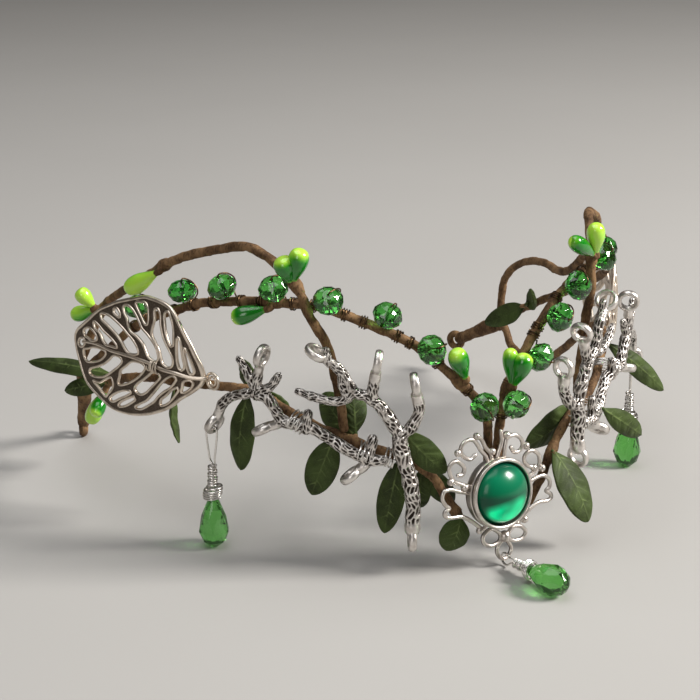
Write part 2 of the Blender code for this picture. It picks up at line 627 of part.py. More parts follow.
def build_beads():
    """Stands each bead on its vine, its hole across the wire."""
    for side, table, rows in (("left", VINE_LEFT, BEADS_LEFT), ("right", VINE_RIGHT, BEADS_RIGHT)):
        for number, (along, lean_deg) in enumerate(rows, 1):
            point, way = on_wire(table, along)
            out = outward(along)
            out = (out - way * out.dot(way)).normalized()
            up = out.cross(way).normalized()
            up = up if up.z > 0 else -up
            lean = math.radians(lean_deg)
            axis = up * math.cos(lean) + out * math.sin(lean)
            centre = point + axis * (WIRE_RADIUS + GAP + BEAD_HALF_HEIGHT + 0.1)
            frame = stand(centre, axis)
            finish(f"bead_{side}_{number}", bead_body(), "bead glass", frame, is_smooth=False)


def setting_frame():
    turn = Matrix.Rotation(math.radians(SETTING_TURN_DEG), 4, "Z")
    lean = Matrix.Rotation(math.radians(-SETTING_LEAN_DEG), 4, "X")
    face = Matrix(((1, 0, 0, 0), (0, 0, -1, 0), (0, 1, 0, 0), (0, 0, 0, 1)))
    return Matrix.Translation(SETTING_CENTRE) @ turn @ lean @ face


def bezel_cup():
    """The cup that holds the cabochon: an open rim, a floor under the stone and a flat back."""
    inside = STONE_RADIUS + 0.25
    return turned(
        [
            (0, 0), (inside, 0), (inside, BEZEL_FRONT), (BEZEL_RADIUS - 0.35, BEZEL_FRONT + 0.15),
            (BEZEL_RADIUS, BEZEL_FRONT - 0.4), (BEZEL_RADIUS, -0.6),
            (BEZEL_RADIUS - 0.8, BEZEL_BACK), (0, BEZEL_BACK),
        ],
        24,
    )


def build_setting():
    """The bezel cup with its filigree as one casting, and the cabochon in it."""
    bars = [tube(smooth([(*p, 0) for p in row], 2.6), FILIGREE_RADIUS) for row in BARS]
    for row in LOOPS:
        bars.append(tube(smooth([(*p, 0) for p in row], 2.8, True), FILIGREE_RADIUS, closed=True))
    for x, y, radius in BALLS:
        made = bmesh.new()
        bmesh.ops.create_uvsphere(made, u_segments=6, v_segments=4, radius=radius)
        bars.append(move(shape("ball", made), Matrix.Translation((x, y, 0.1))))
    for k, bar in enumerate(bars):
        # A slight step between the bars keeps no two of their faces in one plane.
        move(bar, Matrix.Translation((0, 0, 0.017 * k if k % 2 else -0.013 * k)))
    frame = setting_frame()
    finish("centre_setting", union([bezel_cup()] + bars), "silver", frame)
    edge = STONE_RADIUS - 0.1
    dome = [(0, 6.3), (3.2, 5.9), (6.0, 4.6), (7.6, 3.0), (edge, 1.4), (edge, GAP), (0, GAP)]
    finish("cabochon", turned(dome, 20), "cabochon glass", frame)


def on_casting(row, side):
    """Point of a casting from its row in the table, as it stands on one side of the head."""
    flip, flare_start, flare, lean_deg, (back, lift) = side
    along, height, out = row
    lean = math.radians(lean_deg)
    ahead, up = along - CASTING_PIVOT[0], height - CASTING_PIVOT[1]
    along = CASTING_PIVOT[0] - back + ahead * math.cos(lean) + up * math.sin(lean)
    height = CASTING_PIVOT[1] + lift - ahead * math.sin(lean) + up * math.cos(lean)
    further = flare * max(0, abs(along) - flare_start)
    return place(flip * along, height, CASTING_OUT + out + further)


def cast_twigs(twigs, side):
    """One casting of knobby twigs, with smooth rings at some tips."""
    parts = []
    for radius, has_ring, rows in twigs:
        points = [on_casting(row, side) for row in rows]
        path = smooth(points, 5.4)
        last = len(path) - 1
        radii = []
        for k in range(last + 1):
            bump = 1.1 if k % 2 else 0.93
            end = 0.8 if k == last and not has_ring else 1.0
            radii.append(radius * bump * end * (1.0 if k else 0.9))
        parts.append(tube(path, radii))
        if has_ring:
            way = (path[-1] - path[-2]).normalized()
            out = outward(side[0] * rows[-1][0])
            axis = way.cross(out).normalized()
            tip_ring = move(ring(RING_RADIUS, RING_WIRE_RADIUS, 10, 5), Matrix.Scale(1.5, 4, (0, 0, 1)))
            parts.append(move(tip_ring, stand(path[-1] + way * RING_REACH, axis, across=way)))
    return union(parts)


def ring_far_side(twigs, index, side):
    """Middle of the ring's wire, at the far side of the ring at the tip of one twig."""
    ends = [on_casting(row, side) for row in twigs[index][2][-2:]]
    return ends[1] + (ends[1] - ends[0]).normalized() * (RING_REACH + RING_RADIUS)


def build_castings():
    for name, twigs, side in (
        ("antler_casting_left", ANTLER, LEFT_SIDE),
        ("branch_casting_left", BRANCH, LEFT_SIDE),
        ("antler_casting_right", ANTLER_SHORT, RIGHT_ANTLER_SIDE),
        ("branch_casting_right", BRANCH, RIGHT_SIDE),
    ):
        origin = on_casting(twigs[0][2][0], side)
        finish_at(name, cast_twigs(twigs, side), "silver", origin)


def lens(x0, y0, x1, y1, width):
    """Outline of one opening: pointed at its ends, widest in the middle."""
    start, end = Vector((x0, y0)), Vector((x1, y1))
    along = end - start
    side = Vector((-along.y, along.x)).normalized() * (width * 0.66)
    sides = ((0.22, 0.8), (0.62, 1.0))
    points = [start] + [start + along * t + side * w for t, w in sides] + [end]
    return points + [start + along * t - side * w for t, w in reversed(sides)]


def build_leaf_pendant(name, flip):
    """The pierced leaf: a plate cut through, bent to a dome, with a raised spine and a ring."""
    curve = bpy.data.curves.new("plate", "CURVE")
    curve.dimensions = "2D"
    curve.fill_mode = "BOTH"
    curve.extrude = LEAF_THICKNESS / 2
    outline = smooth([(*p, 0) for p in LEAF_OUTLINE], 6.5, closed=True)
    for points in [outline] + [lens(*row) for row in LEAF_OPENINGS]:
        spline = curve.splines.new("POLY")
        spline.use_cyclic_u = True
        spline.points.add(len(points) - 1)
        for point, position in zip(spline.points, points):
            point.co = (position[0], position[1], 0, 1)
    plate = as_mesh(link(curve))
    spine = tube(smooth([(*p, 0.35) for p in LEAF_SPINE], 5.0), 0.75)
    for piece in (plate, spine):
        for vertex in piece.data.vertices:
            across = vertex.co.y / 19.0
            ahead = (vertex.co.x - 27.0) / 27.0
            vertex.co.z += LEAF_DOME * (1 - 0.8 * across * across) * (1 - 0.85 * ahead * ahead)
            vertex.co.z -= LEAF_NECK_BACK * max(0, 1 - vertex.co.x / 12) ** 2
    eye = move(ring(1.85, 0.7, 10, 5), Matrix.Translation((0.6, 0.3, -LEAF_RING_BACK)))
    body = union([plate, spine, eye])
    turn = math.radians(LEAF_TURN_DEG)
    ahead = Vector((flip * math.sin(turn), math.cos(turn), 0))
    out = Vector((flip * math.cos(turn), -math.sin(turn), 0))
    frame = Matrix((ahead, (0, 0, 1), out)).transposed().to_4x4()
    if frame.determinant() < 0:
        # The other side's leaf is this one's mirror image.
        move(body, Matrix.Scale(-1, 4, (0, 0, 1)))
        body.data.flip_normals()
        frame = Matrix((ahead, (0, 0, 1), -out)).transposed().to_4x4()
    frame.translation = place(flip * 79.2, 47.3, LEAF_OUT)
    finish(name, body, "silver", frame)


def blade_frame(start, tip, along, roll_deg):
    """Frame of a leaf: its x from the base to the tip, its z out of its front."""
    ahead = (tip - start).normalized()
    out = outward(along)
    out = (out - ahead * out.dot(ahead)).normalized()
    out = Matrix.Rotation(math.radians(roll_deg), 3, ahead) @ out
    frame = Matrix((ahead, out.cross(ahead), out)).transposed().to_4x4()
    frame.translation = start
    return frame


def blade(length, width):
    """A thin leaf with a raised midrib and a slight curl along its length."""
    made = bmesh.new()
    bmesh.ops.create_grid(made, x_segments=4, y_segments=2, size=0.5)
    for vertex in made.verts:
        t, across = vertex.co.x + 0.5, vertex.co.y * 2
        share = np.interp(t, *zip(*LEAF_SHARES))
        lift = 0.9 * math.sin(math.pi * t) - t * t
        rib = 0.55 * (1 - abs(across)) * (0.3 + share)
        vertex.co = (length * t, across * share * width / 2, lift + rib)
    obj = shape("blade", made)
    solid = obj.modifiers.new("thickness", "SOLIDIFY")
    solid.thickness = LEAF_BLADE
    solid.offset = 0
    return as_mesh(obj)


def build_leaves(wires):
    for name, (wire, near, tip, width, roll) in LEAVES.items():
        on_a_wire = wire in wires
        start = seat(wires[wire], near, LEAF_BLADE / 2) if on_a_wire else place(*near)
        end = place(*tip)
        frame = blade_frame(start, end, near[0], roll)
        finish(name, blade((end - start).length, width), "leaf fabric", frame)
    for name, rows in SPRIGS.items():
        start = seat(wires[rows[0][0]], rows[0][1], STEM_RADIUS)
        blades = []
        for _, near, tip, width, roll in rows:
            end = place(*tip)
            foot = start + (end - start).normalized() * 0.8
            frame = blade_frame(foot, end, near[0], roll)
            blades.append(move(blade((end - foot).length, width), frame))
        ways = [(place(*row[2]) - start).normalized() for row in rows]
        fork = start + (ways[0] + ways[1]) * 0.15
        stem = tube([start + ways[0] * 2.2, fork, start + ways[1] * 2.2], STEM_RADIUS)
        finish_at(name, union([stem] + blades), "leaf fabric", start)


def build_buds(wires):
    """Teardrop buds. Those of one bunch are joined where their stems are tied."""
    for name, rows in BUDS.items():
        start = seat(wires[rows[0][0]], rows[0][1], STEM_RADIUS)
        parts = []
        for _, _, tip, radius in rows:
            way = place(*tip) - start
            length = way.length
            profile = [(radius * r, length * t) for r, t in BUD_PROFILE] + [(0.45, 0), (0, 0)]
            parts.append(move(turned(profile, 8), stand(start, way)))
        if len(rows) > 1:
            way = sum((place(*row[2]) - start for row in rows), Vector()).normalized()
            parts.insert(0, tube([start + way * 0.3, start + way * 2.4], [STEM_RADIUS, 1.3]))
        finish_at(name, union(parts), "bud lacquer", start)


def drop_wire_points(leg, loop):
    """Wire of a drop about z, from inside its neck, over what it hangs on and into the wraps."""
    wide, high = loop
    points = [
        Vector((0, 0, -leg - 4.6)), Vector((0, 0, -leg - 0.6)), Vector((-0.45 * wide, 0, -leg + 1.2)),
        Vector((-wide, 0, -0.9)), Vector((-0.84 * wide, 0, 0.5 * high)), Vector((0, 0, high)),
        Vector((0.84 * wide, 0, 0.5 * high)), Vector((wide, 0, -0.9)),
        Vector((1.2, 0, min(-1.6, -leg + 1.4))),
    ]
    path = smooth(points, 3.0)
    neck_turns, wide_turns, per_turn = 4, 2, 5
    for k in range(neck_turns * per_turn):
        angle = 2 * math.pi * k / per_turn
        height = -leg - 0.7 - NECK_PITCH * k / per_turn
        path.append(Vector((1.15 * math.cos(angle), 1.15 * math.sin(angle), height)))
    bottom = -leg - 0.7 - NECK_PITCH * neck_turns
    for k in range(wide_turns * per_turn + 1):
        angle = 2 * math.pi * k / per_turn
        radius = 1.25 + 1.35 * min(1, k / (per_turn * 1.2))
        height = bottom - WRAP_PITCH * k / per_turn
        path.append(Vector((radius * math.cos(angle), radius * math.sin(angle), height)))
    return path


def build_drop(name, hook, way, across, leg, loop):
    """A drop: its wire loop and wraps, and its stone."""
    frame = stand(hook, -Vector(way), across)
    wire = tube(drop_wire_points(leg, loop), DROP_WIRE_RADIUS)
    finish(f"{name}_wire", wire, "silver", frame)
    top = -leg - STONE_BELOW_LEG
    rings = [(radius, top - below) for below, radius in STONE_PROFILE]
    finish(f"{name}_stone", faceted(rings, 10), "drop glass", frame, is_smooth=False)


def build_drops():
    down = Vector((0, 0, -1))
    for name, side in (("drop_left", LEFT_SIDE), ("drop_right", RIGHT_SIDE)):
        hook = ring_far_side(BRANCH, 0, side)
        across = outward(side[0] * BRANCH[0][2][-1][0]).cross(down)
        build_drop(name, hook, down, across, SIDE_DROP_LEG, SIDE_DROP_LOOP)
    hook = setting_frame() @ Vector((*LOWEST_LOOP, 0.0))
    lying = Vector((1.9, -97.6, 4.35)) - hook
    build_drop("drop_centre", hook, lying, (0, 0, 1), CENTRE_DROP_LEG, CENTRE_DROP_LOOP)


def main():
    for obj in list(bpy.data.objects):
        bpy.data.objects.remove(obj)
    collection = bpy.data.collections.new("diadem")
    bpy.context.scene.collection.children.link(collection)
    collection.objects.link(bpy.data.objects.new("diadem_frame", None))
    wires = build_wires()
    build_beads()
    build_setting()
    build_castings()
    build_leaf_pendant("leaf_pendant_left", -1)
    build_leaf_pendant("leaf_pendant_right", 1)
    build_leaves(wires)
    build_buds(wires)
    build_drops()
    # The frame carries every piece, so that the diadem stands over the middle of the floor.
    bpy.data.objects["diadem_frame"].location = Vector(FRAME_SHIFT) * MM


if __name__ == "__main__":
    main()
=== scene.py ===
"""Looks of the woodland diadem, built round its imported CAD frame.

Each sub-assembly is a class that makes its fine meshes in the place of its CAD nodes and dresses
them. Lengths are in mm, and are turned into metres when a piece is made.
"""

from __future__ import annotations

import logging
import math
from dataclasses import dataclass, field
from enum import Enum
from typing import Any, Iterable, Sequence

import bmesh
import bpy
import numpy as np
from mathutils import Matrix, Vector, noise
from mathutils.kdtree import KDTree

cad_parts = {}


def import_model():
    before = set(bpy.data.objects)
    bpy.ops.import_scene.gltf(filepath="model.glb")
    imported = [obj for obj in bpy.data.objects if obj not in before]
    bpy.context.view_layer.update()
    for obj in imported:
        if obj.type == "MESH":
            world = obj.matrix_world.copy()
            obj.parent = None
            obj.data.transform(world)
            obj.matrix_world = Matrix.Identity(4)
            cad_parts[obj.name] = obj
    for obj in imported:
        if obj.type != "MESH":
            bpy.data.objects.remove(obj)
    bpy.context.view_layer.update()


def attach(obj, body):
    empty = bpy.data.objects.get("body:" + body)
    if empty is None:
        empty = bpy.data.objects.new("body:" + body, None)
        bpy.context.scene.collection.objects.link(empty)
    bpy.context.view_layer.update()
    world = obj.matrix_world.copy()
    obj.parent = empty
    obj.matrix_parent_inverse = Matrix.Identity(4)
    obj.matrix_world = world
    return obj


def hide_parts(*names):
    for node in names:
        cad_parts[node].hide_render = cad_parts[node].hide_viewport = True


LOG = logging.getLogger("diadem")
MM = 0.001
BODY = "root"
# relief is mostly how far out of its hollows a point stands; on the tape it places painted shade in
# the laps, on the cabochon it is the mask of the painted glow, and on the buds it sets their deep
# green side, which is partly painted shade.
RELIEF = "relief"
ALONG = "along"

Row = tuple[float, float, float]
Colour = tuple[float, float, float]

# The CAD model stands this far from the plan curve's own origin.
FRAME_SHIFT = Vector((2.6, 15.6, -0.19))

# How far apart the points of a fine wire and the corners of the CAD's wires and twigs lie.
WIRE_STEP = 0.42
CAD_WIRE_STEP = 9.0
CAD_TWIG_STEP = 5.4

# Two skew directions, one of which is well off any axis that needs a cross direction.
SKEW: Row = (0.31, 0.17, 0.93)
OTHER_SKEW: Row = (0.9, 0.1, 0.2)

# Under this radius a ring of points is a pole, and under this distance in m points are merged.
POLE_RADIUS = 1e-6
MERGE_DISTANCE = 0.000002


class Slot(Enum):
    """Material slots of the record."""

    TAPE = "tape"
    SILVER = "silver"
    BEAD = "bead_glass"
    CABOCHON = "cabochon_glass"
    DROP = "drop_glass"
    BUD = "bud_lacquer"
    LEAF = "leaf_fabric"


class Side(Enum):
    """Side of the head, as it is seen from the front."""

    LEFT = -1
    RIGHT = 1

    @property
    def word(self) -> str:
        """The side's word in the node names."""
        return self.name.lower()


# Plan curve and paths


@dataclass(frozen=True)
class HeadLine:
    """The plan curve that the wires follow: x to the wearer's side, -y to the front."""

    half_width: float = 72.0
    front_y: float = -70.0
    front_depth: float = 88.0
    rear_depth: float = 151.0
    rear_reach: float = 85.0
    samples: int = 600

    def table(self) -> tuple[np.ndarray, np.ndarray, np.ndarray]:
        """Works out the right half of the line.

        Returns:
            Lengths along it, and the plan point and direction at each.
        """
        turn = np.linspace(0, math.pi / 2, self.samples)
        front = np.stack(
            [
                self.half_width * np.sin(turn),
                self.front_y + self.front_depth * (1 - np.cos(turn)),
            ],
            axis=1,
        )
        widest = self.front_y + self.front_depth
        last = math.asin((self.rear_reach - widest) / self.rear_depth)
        turn = np.linspace(0, last, self.samples)[1:]
        rear = np.stack(
            [self.half_width * np.cos(turn), widest + self.rear_depth * np.sin(turn)], axis=1
        )
        points = np.concatenate([front, rear])
        lengths = np.concatenate([[0], np.cumsum(np.hypot(*np.diff(points, axis=0).T))])
        ways = np.gradient(points, axis=0)
        ways /= np.linalg.norm(ways, axis=1)[:, None]
        return lengths, points, ways

    def outward(self, along: float) -> Vector:
        """Unit vector out of the wall of the diadem at this place."""
        side = -1.0 if along < 0 else 1.0
        way = [float(np.interp(abs(along), LENGTHS, WAYS[:, k])) for k in (0, 1)]
        return Vector((side * way[1], -way[0], 0)).normalized()

    def place(self, along: float, height: float, out: float = 0.0) -> Vector:
        """Point at this length along the line, this height and this far outside it."""
        side = -1.0 if along < 0 else 1.0
        x, y = (float(np.interp(abs(along), LENGTHS, LINE[:, k])) for k in (0, 1))
        return Vector((side * x, y, height)) + self.outward(along) * out + FRAME_SHIFT


HEAD = HeadLine()
LENGTHS, LINE, WAYS = HEAD.table()


def smooth(points: Iterable[Sequence[float]], step: float, closed: bool = False) -> list[Vector]:
    """Draws a smooth curve through the points, as the CAD source does.

    Args:
        points: the points it passes.
        step: about how far apart the points of the result are.
        closed: whether it ends where it starts.

    Returns:
        The points of the curve.
    """
    points = [Vector(p) for p in points]
    count = len(points)
    result = []
    for i in range(count if closed else count - 1):
        if closed:
            a, b, c, d = (points[(i + k) % count] for k in (-1, 0, 1, 2))
        else:
            b, c = points[i], points[i + 1]
            a = points[i - 1] if i else b * 2 - c
            d = points[i + 2] if i + 2 < count else c * 2 - b
        pieces = max(1, round((c - b).length / step))
        scale = (c - b).length
        before, after = (c - a) * 0.5, (d - b) * 0.5
        before = before.normalized() * min(before.length, scale)
        after = after.normalized() * min(after.length, scale)
        for k in range(pieces):
            t = k / pieces
            result.append(
                b * (2 * t**3 - 3 * t**2 + 1)
                + before * (t**3 - 2 * t**2 + t)
                + c * (3 * t**2 - 2 * t**3)
                + after * (t**3 - t**2)
            )
    if not closed:
        result.append(points[-1])
    return result


def polar(radius: float, turn: float, height: float = 0.0) -> Row:
    """Point at a radius and an angle about z, and at a height."""
    return radius * math.cos(turn), radius * math.sin(turn), height


def stand(position: Sequence[float], axis: Sequence[float], across: Any = None) -> Matrix:
    """Matrix that puts a body made about z at a position, with its z along the axis."""
    z = Vector(axis).normalized()
    across = Vector(across or SKEW)
    if abs(across.normalized().dot(z)) > 0.98:
        across = Vector(OTHER_SKEW)
    y = z.cross(across).normalized()
    x = y.cross(z)
    return Matrix.Translation(Vector(position)) @ Matrix((x, y, z)).transposed().to_4x4()


# Meshes


@dataclass
class Raw:
    """A mesh in the making, in mm, with how far out of its hollows each point stands."""

    verts: np.ndarray
    faces: list[tuple[int, ...]]
    relief: np.ndarray
    along: np.ndarray | None = None

    def moved(self, matrix: Matrix) -> Raw:
        """A copy of it under a matrix."""
        turn = np.array(matrix, float)
        verts = self.verts @ turn[:3, :3].T + turn[:3, 3]
        faces = self.faces
        if np.linalg.det(turn[:3, :3]) < 0:
            faces = [face[::-1] for face in faces]
        return Raw(verts, faces, self.relief.copy(), self.along)

    @staticmethod
    def joined(parts: Sequence[Raw]) -> Raw:
        """The parts as one mesh."""
        faces, start = [], 0
        for part in parts:
            faces += [tuple(i + start for i in face) for face in part.faces]
            start += len(part.verts)
        along = [p.along if p.along is not None else np.zeros(len(p.verts)) for p in parts]
        return Raw(
            np.concatenate([p.verts for p in parts]),
            faces,
            np.concatenate([p.relief for p in parts]),
            np.concatenate(along),
        )

    @staticmethod
    def of(mesh: bpy.types.Mesh, relief: float = 1.0) -> Raw:
        """A Blender mesh in mm as a raw one, which frees the Blender mesh."""
        verts = np.empty(len(mesh.vertices) * 3, np.float32)
        mesh.vertices.foreach_get("co", verts)
        faces = [tuple(p.vertices) for p in mesh.polygons]
        bpy.data.meshes.remove(mesh)
        verts = verts.reshape(-1, 3).astype(float)
        return Raw(verts, faces, np.full(len(verts), relief))

    def mesh(self, name: str) -> bpy.types.Mesh:
        """The Blender mesh of it, in metres, with its values as point attributes."""
        made = bpy.data.meshes.new(name)
        made.from_pydata((self.verts * MM).tolist(), [], self.faces)
        for label, values in ((RELIEF, self.relief), (ALONG, self.along)):
            if values is not None:
                layer = made.attributes.new(label, "FLOAT", "POINT")
                layer.data.foreach_set("value", values.astype(np.float32))
        made.validate()
        return made


def transport(
    points: np.ndarray, closed: bool = False
) -> tuple[np.ndarray, np.ndarray, np.ndarray]:
    """Carries a cross frame along a path without twist.

    Args:
        points: the path.
        closed: whether it ends where it starts.

    Returns:
        The direction and two cross vectors at each point.
    """
    if closed:
        ways = np.roll(points, -1, axis=0) - np.roll(points, 1, axis=0)
    else:
        ways = np.gradient(points, axis=0)
    ways = ways / np.maximum(np.linalg.norm(ways, axis=1), 1e-9)[:, None]
    first = np.cross(ways[0], SKEW)
    if np.linalg.norm(first) < 0.2:
        first = np.cross(ways[0], OTHER_SKEW)
    normals = np.empty_like(points)
    current = first / np.linalg.norm(first)
    for i, way in enumerate(ways):
        current = current - way * current.dot(way)
        current = current / np.linalg.norm(current)
        normals[i] = current
    if closed:
        # The frame comes back turned a little, which is spread over the way.
        back = normals[-1] - ways[0] * normals[-1].dot(ways[0])
        back /= np.linalg.norm(back)
        twist = math.atan2(np.cross(normals[0], back).dot(ways[0]), normals[0].dot(back))
        turn = -twist * np.arange(len(points)) / len(points)
        side = np.cross(ways, normals)
        normals = normals * np.cos(turn)[:, None] + side * np.sin(turn)[:, None]
    return ways, normals, np.cross(ways, normals)


def swept(
    points: Sequence[Sequence[float]],
    radii: Any,
    sides: int,
    closed: bool = False,
    relief: Any = 1.0,
) -> Raw:
    """A round body along a path, with domed ends.

    Args:
        points: the path.
        radii: one radius, one a point, or one a point and side.
        sides: corners round it.
        closed: whether the path ends where it starts.
        relief: the relief value, in the same forms.

    Returns:
        The body.
    """
    path = np.array([tuple(p) for p in points], float)
    count = len(path)
    radii = np.array(radii, float)
    grid = np.broadcast_to(radii if radii.ndim == 2 else radii.reshape(-1, 1), (count, sides))
    values = np.array(relief, float)
    values = np.broadcast_to(values if values.ndim == 2 else values.reshape(-1, 1), (count, sides))
    ways, normals, sideways = transport(path, closed)
    turn = 2 * np.pi * np.arange(sides) / sides
    spokes = (
        normals[:, None, :] * np.cos(turn)[None, :, None]
        + sideways[:, None, :] * np.sin(turn)[None, :, None]
    )
    rings = [path[:, None, :] + spokes * grid[:, :, None]]
    shades = [values]
    if not closed:
        for end, way in ((0, -ways[0]), (-1, ways[-1])):
            size = grid[end].mean()
            caps, tones = [], []
            for share in (0.35, 0.65, 0.85):
                inward = math.sqrt(1 - share * share)
                cap = path[end] + spokes[end] * (grid[end] * inward)[:, None]
                caps.append(cap + way * size * share)
                tones.append(values[end])
            if end == 0:
                rings = [np.array(caps[::-1])] + rings
                shades = [np.array(tones[::-1])] + shades
            else:
                rings.append(np.array(caps))
                shades.append(np.array(tones))
    rows = np.concatenate(rings)
    shades = np.concatenate(shades)
    total = len(rows)
    verts = rows.reshape(-1, 3)
    tones = shades.reshape(-1)
    faces = []
    for i in range(total if closed else total - 1):
        a, b = i * sides, ((i + 1) % total) * sides
        for j in range(sides):
            k = (j + 1) % sides
            faces.append((a + j, a + k, b + k, b + j))
    if not closed:
        tips = np.array([path[0] - ways[0] * grid[0].mean(), path[-1] + ways[-1] * grid[-1].mean()])
        verts = np.concatenate([verts, tips])
        tones = np.concatenate([tones, [shades[0, 0], shades[-1, 0]]])
        first, last = total * sides, total * sides + 1
        base = (total - 1) * sides
        for j in range(sides):
            k = (j + 1) % sides
            faces.append((first, k, j))
            faces.append((last, base + j, base + k))
    return Raw(verts, faces, tones)


def turned(profile: Sequence[tuple[float, float]], steps: int) -> Raw:
    """A body turned about z from (radius, height) points, from one pole to the other."""
    verts, rows = [], []
    for radius, height in profile:
        if radius < POLE_RADIUS:
            rows.append([len(verts)] * steps)
            verts.append((0.0, 0.0, height))
            continue
        rows.append(list(range(len(verts), len(verts) + steps)))
        verts += [polar(radius, 2 * math.pi * i / steps, height) for i in range(steps)]
    faces = []
    for upper, lower in zip(rows, rows[1:]):
        for i in range(steps):
            k = (i + 1) % steps
            face = list(dict.fromkeys((upper[i], lower[i], lower[k], upper[k])))
            if len(face) > 2:
                faces.append(tuple(face))
    return Raw(np.array(verts), faces, np.ones(len(verts)))


def ball(centre: Sequence[float], radius: float, steps: int = 16) -> Raw:
    """A small round ball."""
    half = steps // 2
    profile = [
        (radius * math.sin(math.pi * k / half), radius * math.cos(math.pi * k / half))
        for k in range(half + 1)
    ]
    profile[0], profile[-1] = (0.0, radius), (0.0, -radius)
    return turned(profile, steps).moved(Matrix.Translation(Vector(centre)))


def evaluated(obj: bpy.types.Object) -> bpy.types.Mesh:
    """The mesh of an object with its modifiers, which removes the object."""
    bpy.context.view_layer.update()
    graph = bpy.context.evaluated_depsgraph_get()
    mesh = bpy.data.meshes.new_from_object(obj.evaluated_get(graph))
    data = obj.data
    bpy.data.objects.remove(obj)
    if isinstance(data, bpy.types.Mesh):
        bpy.data.meshes.remove(data)
    else:
        bpy.data.curves.remove(data)
    return mesh


def linked(data: Any, name: str = "") -> bpy.types.Object:
    """A new object of this data in the scene, named as its data if no name is given."""
    obj = bpy.data.objects.new(name or data.name, data)
    bpy.context.scene.collection.objects.link(obj)
    return obj


def raised(mesh: bpy.types.Mesh) -> bpy.types.Mesh:
    """The mesh, marked as standing out all over."""
    layer = mesh.attributes.new(RELIEF, "FLOAT", "POINT")
    layer.data.foreach_set("value", np.ones(len(mesh.vertices), np.float32))
    return mesh


def piece(
    name: str,
    shape: Raw | bpy.types.Mesh,
    material: bpy.types.Material,
    nodes: Sequence[str] = (),
    slot: Slot | None = None,
    is_smooth: bool = True,
) -> None:
    """Makes a finished shape a piece of the diadem.

    Args:
        name: the piece's name.
        shape: its shape in place, as a raw mesh in mm or a Blender mesh in metres.
        material: its finish.
        nodes: the CAD nodes it stands for.
        slot: the record's slot of its finish; not used.
        is_smooth: whether its faces are shaded smooth.
    """
    mesh = shape.mesh(name) if isinstance(shape, Raw) else shape
    made = bmesh.new()
    made.from_mesh(mesh)
    bmesh.ops.remove_doubles(made, verts=made.verts, dist=MERGE_DISTANCE)
    bmesh.ops.recalc_face_normals(made, faces=made.faces)
    made.to_mesh(mesh)
    made.free()
    mesh.materials.clear()
    mesh.materials.append(material)
    mesh.polygons.foreach_set("use_smooth", [is_smooth] * len(mesh.polygons))
    mesh.update()
    obj = linked(mesh, name)
    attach(obj, BODY)
    if nodes:
        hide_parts(*nodes)
    LOG.info("%s: %d faces", name, len(mesh.polygons))


class ShapeTree:
    """A Geometry Nodes tree with named inputs, which is run on a mesh."""

    def __init__(self, name: str, inputs: dict[str, str]) -> None:
        """Starts the tree.

        Args:
            name: its name.
            inputs: the socket type of each named input, the mesh that it is run on first.
        """
        self.tree = bpy.data.node_groups.new(name, "GeometryNodeTree")
        face = self.tree.interface
        sockets = [
            face.new_socket(label, in_out="INPUT", socket_type=f"NodeSocket{kind}")
            for label, kind in inputs.items()
        ]
        face.new_socket("Shape", in_out="OUTPUT", socket_type="NodeSocketGeometry")
        self.keys = [socket.identifier for socket in sockets[1:]]
        self.start = self.add("NodeGroupInput")

    def add(self, kind: str) -> Any:
        """Adds a node."""
        return self.tree.nodes.new(kind)

    def link(self, source: Any, output: str, target: Any, entry: str) -> None:
        """Links a node's output to another's input."""
        self.tree.links.new(source.outputs[output], target.inputs[entry])

    def close(self, source: Any, output: str) -> None:
        """Ends the tree: its instances are made real and get the finish."""
        real = self.add("GeometryNodeRealizeInstances")
        finish = self.add("GeometryNodeSetMaterial")
        end = self.add("NodeGroupOutput")
        self.link(source, output, real, "Geometry")
        self.link(real, "Geometry", finish, "Geometry")
        self.link(self.start, "Finish", finish, "Material")
        self.link(finish, "Geometry", end, "Shape")

    def run(self, mesh: bpy.types.Mesh, *values: Any) -> bpy.types.Mesh:
        """Runs the tree on a mesh, with the values of its other inputs in their order."""
        obj = linked(mesh)
        modifier = obj.modifiers.new("shape", "NODES")
        modifier.node_group = self.tree
        for key, value in zip(self.keys, values):
            modifier[key] = value
        return evaluated(obj)


class SweepTree(ShapeTree):
    """Draws a round wire along every polyline of a mesh."""

    def __init__(self) -> None:
        """Builds the tree."""
        super().__init__(
            "sweep_wire",
            {"Path": "Geometry", "Wire radius": "Float", "Corners": "Int", "Finish": "Material"},
        )
        to_curve = self.add("GeometryNodeMeshToCurve")
        circle = self.add("GeometryNodeCurvePrimitiveCircle")
        sweep = self.add("GeometryNodeCurveToMesh")
        sweep.inputs["Fill Caps"].default_value = True
        self.link(self.start, "Path", to_curve, "Mesh")
        self.link(self.start, "Wire radius", circle, "Radius")
        self.link(self.start, "Corners", circle, "Resolution")
        self.link(to_curve, "Curve", sweep, "Curve")
        self.link(circle, "Curve", sweep, "Profile Curve")
        self.close(sweep, "Mesh")

    def draw(
        self,
        paths: Sequence[Sequence[Sequence[float]]],
        radius: float,
        corners: int,
        material: bpy.types.Material,
    ) -> bpy.types.Mesh:
        """Draws the wires.

        Args:
            paths: each wire's points, in mm.
            radius: the wires' radius in mm.
            corners: corners round a wire.
            material: their finish.

        Returns:
            One plain mesh of them all, in metres.
        """
        points, edges = [], []
        for path in paths:
            first = len(points)
            points += [tuple(np.array(tuple(p), float) * MM) for p in path]
            edges += [(k, k + 1) for k in range(first, len(points) - 1)]
        mesh = bpy.data.meshes.new("path")
        mesh.from_pydata(points, edges, [])
        return self.run(mesh, radius * MM, corners, material)


# Finishes


